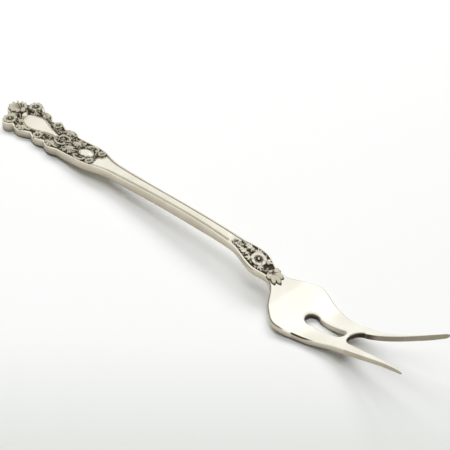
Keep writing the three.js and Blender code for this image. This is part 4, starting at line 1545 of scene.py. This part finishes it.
def scroll_path(long, wide, side):
    """Bowed line along X whose ends curl inwards."""
    s = np.linspace(-1, 1, 121)
    heading = -side * (0.95 * s + 3.9 * np.sign(s) * np.abs(s) ** 5)
    x, y = np.cumsum(np.cos(heading)), np.cumsum(np.sin(heading))
    x, y = x - (x.max() + x.min()) / 2, y - (y.max() + y.min()) / 2
    return np.stack([x * long / np.ptp(x), y * wide / np.ptp(y), np.zeros(len(s))], -1)


def scroll_skin(long, wide, thick, side):
    """Rod bowed into a scroll, with a ball in each curl."""
    line = scroll_path(long - thick, wide - thick, side)
    path = loose_path(line, False)
    points, faces = shop().rod.grow(Path=path, Radius=thick / 2, Taper=0.45)
    bpy.data.objects.remove(path)
    skin = Skin()
    points = points + (0, 0, 0.1 * thick)
    skin.add(points, faces, depth_recess(points, thick / 2, -0.2, 0.7))
    ball_size = 0.75 * thick
    for end in (line[0], line[-1]):
        ball, faces = dome(ball_size, ball_size, ball_size, 14, 6)
        skin.add(ball + end, faces, depth_recess(ball, ball_size, 0.2, 0.7))
    return skin


def add_beads(skin, outline, radius, lift):
    """Adds beads set close along a closed line, with their middles lifted off it."""
    path = loose_path(outline, True)
    points, faces = shop().beads.grow(Path=path, Spacing=2.15 * radius, Radius=radius)
    bpy.data.objects.remove(path)
    skin.add(points + (0, 0, lift), faces, depth_recess(points, radius, -0.3, 0.6))


def lay(skin, x, y, turn=0.0, lift=0.0):
    """Puts a skin on the fork's upper surface at a place, turned, with its foot on that surface."""
    layout = shop().layout
    c, s = math.cos(turn), math.sin(turn)

    def put(points):
        px = x + points[:, 0] * c - points[:, 1] * s
        py = y + points[:, 0] * s + points[:, 1] * c
        return np.column_stack([px, py, layout.seat(px, py) + points[:, 2] + lift])

    return skin.moved(put)


def chase(skin, node, x, y, turn=0.0, lift=0.0, material=None):
    """Makes one raised ornament in place of its solid."""
    piece = lay(skin, x, y, turn, lift).make(f"{node}_relief", material or shop().chased)
    settle(piece, CHASED_SLOT, node)


class FORK_OT_tip_ornament(bpy.types.Operator):
    """Build the fan shell and the two rosettes at the tip"""

    bl_idname = "fork.tip_ornament"
    bl_label = "Tip ornament"

    def execute(self, context):
        o, layout = ornament(), shop().layout
        ground = handle().ground_depth
        reach = 2 * o.shell_radius
        height = o.shell_height + ground
        spread = math.radians(130)
        shell = fan_skin(shop().flute, reach, height, spread, 0.58, o.flutes, 0.185 * reach, 0.2 * MM)
        chase(shell, "tip_shell", layout.shell_x + 0.96 * o.shell_radius, 0, math.pi)
        for hand, side in HANDS:
            skin = rosette_skin(o.tip_rosette_radius, o.tip_rosette_height + ground)
            spray = spray_skin(0.9 * o.tip_rosette_radius, 0.6 * o.tip_rosette_height + ground)
            skin.join(spray, 0.95 * o.tip_rosette_radius, -side * 0.75 * o.tip_rosette_radius, -side * 0.5)
            chase(skin, f"{hand}_tip_rosette", layout.tip_rosette_x, side * layout.tip_rosette_y)
        return {"FINISHED"}


class FORK_OT_edge_ornament(bpy.types.Operator):
    """Build the leaves and rosettes along the scalloped edges"""

    bl_idname = "fork.edge_ornament"
    bl_label = "Edge ornament"

    def execute(self, context):
        h, o, layout = handle(), ornament(), shop().layout
        height = o.edge_height + h.ground_depth
        for hand, side in HANDS:
            for i in range(layout.edge_lobes):
                x = layout.lobes_x + (i + 0.5) * h.lobe_length
                if i % 2:
                    skin, kind = rosette_skin(o.edge_rosette_radius, height), "rosette"
                else:
                    skin, kind = leaf_skin(h.lobe_length - o.gap, o.edge_leaf_width, height), "leaf"
                y = layout.edge_y + float(layout.flare(x)) - h.terminal_width / 2
                slope = float(layout.flare(x + o.gap) - layout.flare(x - o.gap)) / (2 * o.gap)
                chase(skin, f"{hand}_edge_{kind}_{i + 1}", x, side * y, side * math.atan(slope))
        return {"FINISHED"}


class FORK_OT_panel(bpy.types.Operator):
    """Build the plain panel with its beads and the scrolls below it"""

    bl_idname = "fork.panel"
    bl_label = "Plain panel and scrolls"

    def execute(self, context):
        h, o, work = handle(), ornament(), shop()
        layout = work.layout
        xs = np.linspace(layout.panel_start, layout.panel_end, 60)
        wide = layout.panel_half(xs)
        height = o.panel_height + h.ground_depth
        turns = np.linspace(0, math.pi, 19)
        arch = [(wide * math.cos(t), height * math.sin(t) ** 0.7) for t in turns]
        y = np.array([across for across, _ in arch]).T
        z = np.array([np.full(len(xs), up) for _, up in arch]).T
        z = z * smooth(-0.12, 0.1, np.minimum(xs - xs[0], xs[-1] - xs) / np.ptp(xs))[:, None]
        points = np.stack([np.broadcast_to(xs[:, None], y.shape), y, z], -1)
        skin = Skin().add(points, loft_faces(*points.shape[:2]), 0)
        line = np.concatenate([
            np.column_stack([xs, wide + o.bead_radius, 0 * xs]),
            np.column_stack([xs[::-1], -wide[::-1] - o.bead_radius, 0 * xs]),
        ])
        add_beads(skin, line, o.bead_radius, 0.7 * o.bead_radius)
        chase(skin, "plain_panel", 0, 0, material=work.plain)
        for hand, side in HANDS:
            scroll = scroll_skin(o.scroll_length, o.scroll_width, o.scroll_height, side)
            chase(scroll, f"{hand}_panel_scroll", layout.scroll_x, side * layout.scroll_y, lift=SCROLL_LIFT)
        return {"FINISHED"}


class FORK_OT_throat_ornament(bpy.types.Operator):
    """Build the leaves, boss, scrolls and rosettes on the throat of the stem"""

    bl_idname = "fork.throat_ornament"
    bl_label = "Throat ornament"

    def execute(self, context):
        h, o, layout = handle(), ornament(), shop().layout
        rim = o.bead_radius
        boss = Skin().add(*dome(o.boss_length - 3 * rim, o.boss_width - 3 * rim, o.boss_height), 0)
        turns = np.linspace(0, 2 * math.pi, 72, endpoint=False)
        line = np.column_stack([
            (o.boss_length / 2 - rim) * np.cos(turns),
            (o.boss_width / 2 - rim) * np.sin(turns),
            0 * turns,
        ])
        add_beads(boss, line, rim, 0.8 * rim)
        chase(boss, "oval_boss", layout.boss_x, 0, material=shop().plain)
        for hand, side in HANDS:
            leaf = leaf_skin(o.throat_leaf_length, o.throat_leaf_width, o.throat_leaf_height + h.ground_depth)
            spray = spray_skin(0.32 * o.throat_leaf_length, o.throat_leaf_height)
            leaf.join(spray, -0.3 * o.throat_leaf_length, side * 0.55 * o.throat_leaf_width, side * 0.1)
            leaf.join(spray, 0.15 * o.throat_leaf_length, side * 0.55 * o.throat_leaf_width, 0)
            chase(leaf, f"{hand}_throat_leaf", layout.throat_leaf_x, side * layout.throat_leaf_y)
            scroll = scroll_skin(o.scroll_length, o.scroll_width, o.scroll_height, side)
            y = side * layout.throat_scroll_y
            chase(scroll, f"{hand}_throat_scroll", layout.boss_x, y, lift=SCROLL_LIFT)
            rosette = rosette_skin(o.throat_rosette_radius, o.throat_rosette_height + h.ground_depth)
            y = float(layout.half_width(layout.throat_rosette_x)) - h.rim - o.throat_rosette_radius
            chase(rosette, f"{hand}_throat_rosette", layout.throat_rosette_x, side * y)
        return {"FINISHED"}


class FORK_OT_shoulder_ornament(bpy.types.Operator):
    """Build the spray of leaves, the rosette and the palmette on the shoulder"""

    bl_idname = "fork.shoulder_ornament"
    bl_label = "Shoulder ornament"

    def execute(self, context):
        h, b, o, layout = handle(), bowl(), ornament(), shop().layout
        ground = h.ground_depth
        rosette = rosette_skin(o.shoulder_rosette_radius, o.shoulder_rosette_height + ground)
        spray = spray_skin(0.85 * o.shoulder_rosette_radius, 0.6 * o.shoulder_rosette_height + ground)
        reach = 0.95 * o.shoulder_rosette_radius
        corner = 0.75
        for turn in (corner, -corner, math.pi - corner, math.pi + corner):
            heading = 0.55 * turn if abs(turn) == corner else turn
            rosette.join(spray, reach * math.cos(turn), reach * math.sin(turn), heading)
        silver = shop().shoulder
        chase(rosette, "shoulder_rosette", layout.shoulder_rosette_x, 0, material=silver)
        long, wide, spread = 0.66 * o.palmette_length, 0.23 * o.palmette_length, math.radians(116)
        fan = fan_skin(shop().petal, long, o.palmette_height, spread, 0.3, 5, wide, 0.17 * MM)
        chase(fan, "neck_palmette", b.bowl_x - 0.12 * o.palmette_length, 0)
        leaf_x = layout.shoulder_rosette_x - o.shoulder_rosette_radius - o.gap - o.spray_leaf_length / 2
        for hand, side in HANDS:
            leaf = leaf_skin(o.spray_leaf_length, o.spray_leaf_width, o.spray_leaf_height + ground)
            y = side * (o.spray_leaf_width + o.gap) / 2
            chase(leaf, f"{hand}_spray_leaf", leaf_x, y, math.pi, material=silver)
        return {"FINISHED"}


def ground_patch(xs, start, end):
    """Flat strip under the ornament for grains and small leaves to be spread on."""
    across = np.linspace(0, 1, 9)
    points = [(x, low + (high - low) * part, 0) for x, low, high in zip(xs, start, end) for part in across]
    return loose("ground", points, grid_faces(len(xs), len(across)))


class FORK_OT_matting(bpy.types.Operator):
    """Spread grains and small leaves over the sunk ground behind the ornament"""

    bl_idname = "fork.matting"
    bl_label = "Matted ground"

    def execute(self, context):
        h, b, o, work = handle(), bowl(), ornament(), shop()
        layout = work.layout
        margin = 1.1 * MM
        terminal = np.linspace(layout.panel_end, h.stem_x, 20)
        beside = np.linspace(layout.shell_x, layout.panel_end, 50)
        throat = np.linspace(h.stem_x, layout.throat_rosette_x, 40)
        shoulder = np.linspace(h.shoulder_x - 1 * MM, b.bowl_x - 0.6 * MM, 36)
        terminal_half = layout.lobed_half_width(terminal) - margin
        beside_half = layout.lobed_half_width(beside) - margin
        panel_edge = np.minimum(layout.panel_half(beside) + 3 * o.bead_radius, beside_half)
        throat_half = layout.half_width(throat) - margin
        shoulder_half = layout.half_width(shoulder) - margin
        for name, xs, start, end in (
            ("terminal_matting", terminal, -terminal_half, terminal_half),
            ("left_edge_matting", beside, panel_edge, beside_half),
            ("right_edge_matting", beside, -panel_edge, -beside_half),
            ("throat_matting", throat, -throat_half, throat_half),
            ("shoulder_matting", shoulder, -shoulder_half, shoulder_half),
        ):
            ground = ground_patch(xs, start, end)
            points, faces = work.grains.grow(
                Ground=ground, Spacing=o.grain_spacing, Density=GROUND_DENSITY, Radius=o.grain_radius
            )
            skin = Skin().add(points, faces, 0.6 + 0.4 * depth_recess(points, o.grain_radius, -0.2, 1.3))
            points, faces = work.leaflets.grow(
                Ground=ground,
                Form=work.leaflet,
                Spacing=o.leaflet_spacing,
                Density=GROUND_DENSITY,
                Size=(o.leaflet_length, 0.56 * o.leaflet_length, o.leaflet_height),
            )
            skin.add(points, faces, 0.4 + 0.5 * depth_recess(points, o.leaflet_height, 0.3, 0.8))
            bpy.data.objects.remove(ground)
            settle(lay(skin, 0, 0).make(name, work.chased, math.pi), CHASED_SLOT)
        return {"FINISHED"}


def seen_rays(graph):
    """One for the camera's rays and for what they meet in metal, none for light that falls on the floor."""
    ray = graph.node("ShaderNodeLightPath", output="Is Camera Ray")
    seen = (ray + ray.out("Is Glossy Ray") + ray.out("Is Transmission Ray")).clamped()
    return seen * (1 - ray.out("Diffuse Depth").clamped())


class FORK_OT_stage(bpy.types.Operator):
    """Set up the floor, the light and the camera"""

    bl_idname = "fork.stage"
    bl_label = "Stage"

    def execute(self, context):
        scene = context.scene
        scene.view_settings.view_transform = "Standard"
        self.floor(scene)
        self.light(scene)
        self.camera(scene)
        return {"FINISHED"}

    def floor(self, scene):
        """A pale floor, darker towards the camera as painted shade and white far off, that can be seen
        through from below.
        """
        stage = scene.fork_stage
        mesh = bpy.data.meshes.new("floor")
        reach = 4.0
        corners = [(-reach, -reach, 0), (reach, -reach, 0), (reach, reach, 0), (-reach, reach, 0)]
        mesh.from_pydata(corners, [], [(0, 1, 2, 3)])
        material = bpy.data.materials.new("pale_floor")
        graph = graph_of(material)
        position = graph.node("ShaderNodeTexCoord", output="Object")
        grain = graph.node("ShaderNodeTexNoise", {}, {"Vector": position, "Scale": 60.0, "Detail": 3.0})
        towards = (math.sin(stage.camera_azimuth), -math.cos(stage.camera_azimuth), 0)
        nearness = graph.node(
            "ShaderNodeVectorMath", {"operation": "DOT_PRODUCT"}, {0: position, 1: towards}, "Value"
        )
        # Painted shade: the floor darkens towards the camera.
        shade = graph.ramp(nearness, 30 * MM, 85 * MM)
        shaded = (shade * 0.9 + (grain - 0.5) * 0.04).clamped()
        tone = graph.blend(shaded, (*stage.floor_tone, 1), (*stage.shade_tone, 1))
        matt = graph.node("ShaderNodeBsdfDiffuse", {}, {"Color": tone})
        glow = graph.node("ShaderNodeEmission", {}, {"Color": (1, 1, 1, 1), "Strength": 1.0})
        far = graph.node("ShaderNodeVectorMath", {"operation": "LENGTH"}, {0: position}, "Value")
        edge = graph.ramp(far, 220 * MM, 700 * MM)
        seen = seen_rays(graph)
        top = graph.node("ShaderNodeMixShader", {}, {0: edge * seen, 1: matt, 2: glow})
        under = graph.node("ShaderNodeNewGeometry", output="Backfacing")
        clear = graph.node("ShaderNodeBsdfTransparent")
        both = graph.node("ShaderNodeMixShader", {}, {0: under, 1: top, 2: clear})
        graph.node("ShaderNodeOutputMaterial", {}, {"Surface": both})
        mesh.materials.append(material)
        floor = bpy.data.objects.new("floor", mesh)
        scene.collection.objects.link(floor)

    def light(self, scene):
        """Square lamps that face the fork, and a white room."""
        stage = scene.fork_stage
        for name, watts, spot, mirrored in (
            ("overhead_lamp", stage.over_power, stage.over_place, False),
            ("far_lamp", stage.far_power, stage.far_place, False),
            ("glint_lamp", stage.glint_power, GLINT_NEARNESS * Vector(stage.far_place), True),
            ("left_lamp", stage.left_power, stage.left_place, False),
        ):
            data = bpy.data.lights.new(name, "AREA")
            data.shape = "SQUARE"
            data.size = stage.lamp_side
            data.energy = watts
            lamp = bpy.data.objects.new(name, data)
            turn = Vector(spot).to_track_quat("Z", "Y").to_matrix().to_4x4()
            lamp.matrix_world = Matrix.Translation(spot) @ turn
            lamp.visible_glossy = mirrored
            scene.collection.objects.link(lamp)
        world = bpy.data.worlds.new("white_room")
        scene.world = world
        graph = graph_of(world)
        seen = seen_rays(graph)
        strength = seen * (1 - stage.sky_fill) + stage.sky_fill
        sky = graph.node("ShaderNodeBackground", {}, {"Color": (1, 1, 1, 1), "Strength": strength})
        graph.node("ShaderNodeOutputWorld", {}, {"Surface": sky})

    def camera(self, scene):
        """The camera that the photo's outlines were fitted with."""
        stage = scene.fork_stage
        bearing, tilt, roll = stage.camera_azimuth, stage.camera_elevation, stage.camera_roll
        level = math.cos(tilt)
        back = Vector((math.sin(bearing) * level, -math.cos(bearing) * level, math.sin(tilt)))
        right = Vector((math.cos(bearing), math.sin(bearing), 0))
        up = back.cross(right)
        rolled_right = math.cos(roll) * right + math.sin(roll) * up
        rolled_up = math.cos(roll) * up - math.sin(roll) * right
        data = bpy.data.cameras.new("camera")
        data.sensor_width = SENSOR_WIDTH
        data.lens = stage.camera_lens
        data.clip_start, data.clip_end = 0.01, 20
        camera = bpy.data.objects.new("camera", data)
        turn = Matrix((rolled_right, rolled_up, back)).transposed().to_4x4()
        camera.matrix_world = Matrix.Translation(stage.camera_place) @ turn
        scene.collection.objects.link(camera)
        scene.camera = camera


class FORK_PT_panel(bpy.types.Panel):
    """Steps that build the fork, and their sizes"""

    bl_idname = "FORK_PT_panel"
    bl_label = "Olive fork"
    bl_space_type = "VIEW_3D"
    bl_region_type = "UI"
    bl_category = "Olive fork"

    def draw(self, context):
        for step in STEPS:
            self.layout.operator(step.bl_idname)
        for name in GROUPS:
            group = getattr(context.scene, name)
            box = self.layout.box()
            box.label(text=group.bl_rna.description)
            for key in group.bl_rna.properties.keys():
                if key not in {"rna_type", "name"}:
                    box.prop(group, key)


GROUPS = {
    "fork_handle": ForkHandleSizes,
    "fork_bowl": ForkBowlSizes,
    "fork_ornament": ForkOrnamentSizes,
    "fork_finish": ForkFinish,
    "fork_stage": ForkStage,
}
STEPS = (
    FORK_OT_stage,
    FORK_OT_terminal,
    FORK_OT_stem,
    FORK_OT_bowl,
    FORK_OT_tines,
    FORK_OT_tip_ornament,
    FORK_OT_edge_ornament,
    FORK_OT_panel,
    FORK_OT_throat_ornament,
    FORK_OT_shoulder_ornament,
    FORK_OT_matting,
)


def register():
    for kind in (*GROUPS.values(), *STEPS, FORK_PT_panel):
        bpy.utils.register_class(kind)
    for name, kind in GROUPS.items():
        setattr(bpy.types.Scene, name, PointerProperty(type=kind))


def unregister():
    for name in GROUPS:
        delattr(bpy.types.Scene, name)
    for kind in (FORK_PT_panel, *STEPS[::-1], *list(GROUPS.values())[::-1]):
        bpy.utils.unregister_class(kind)


def main():
    register()
    for step in STEPS:
        group, name = step.bl_idname.split(".")
        getattr(getattr(bpy.ops, group), name)()
    shop().clear()


if __name__ == "__main__":
    main()
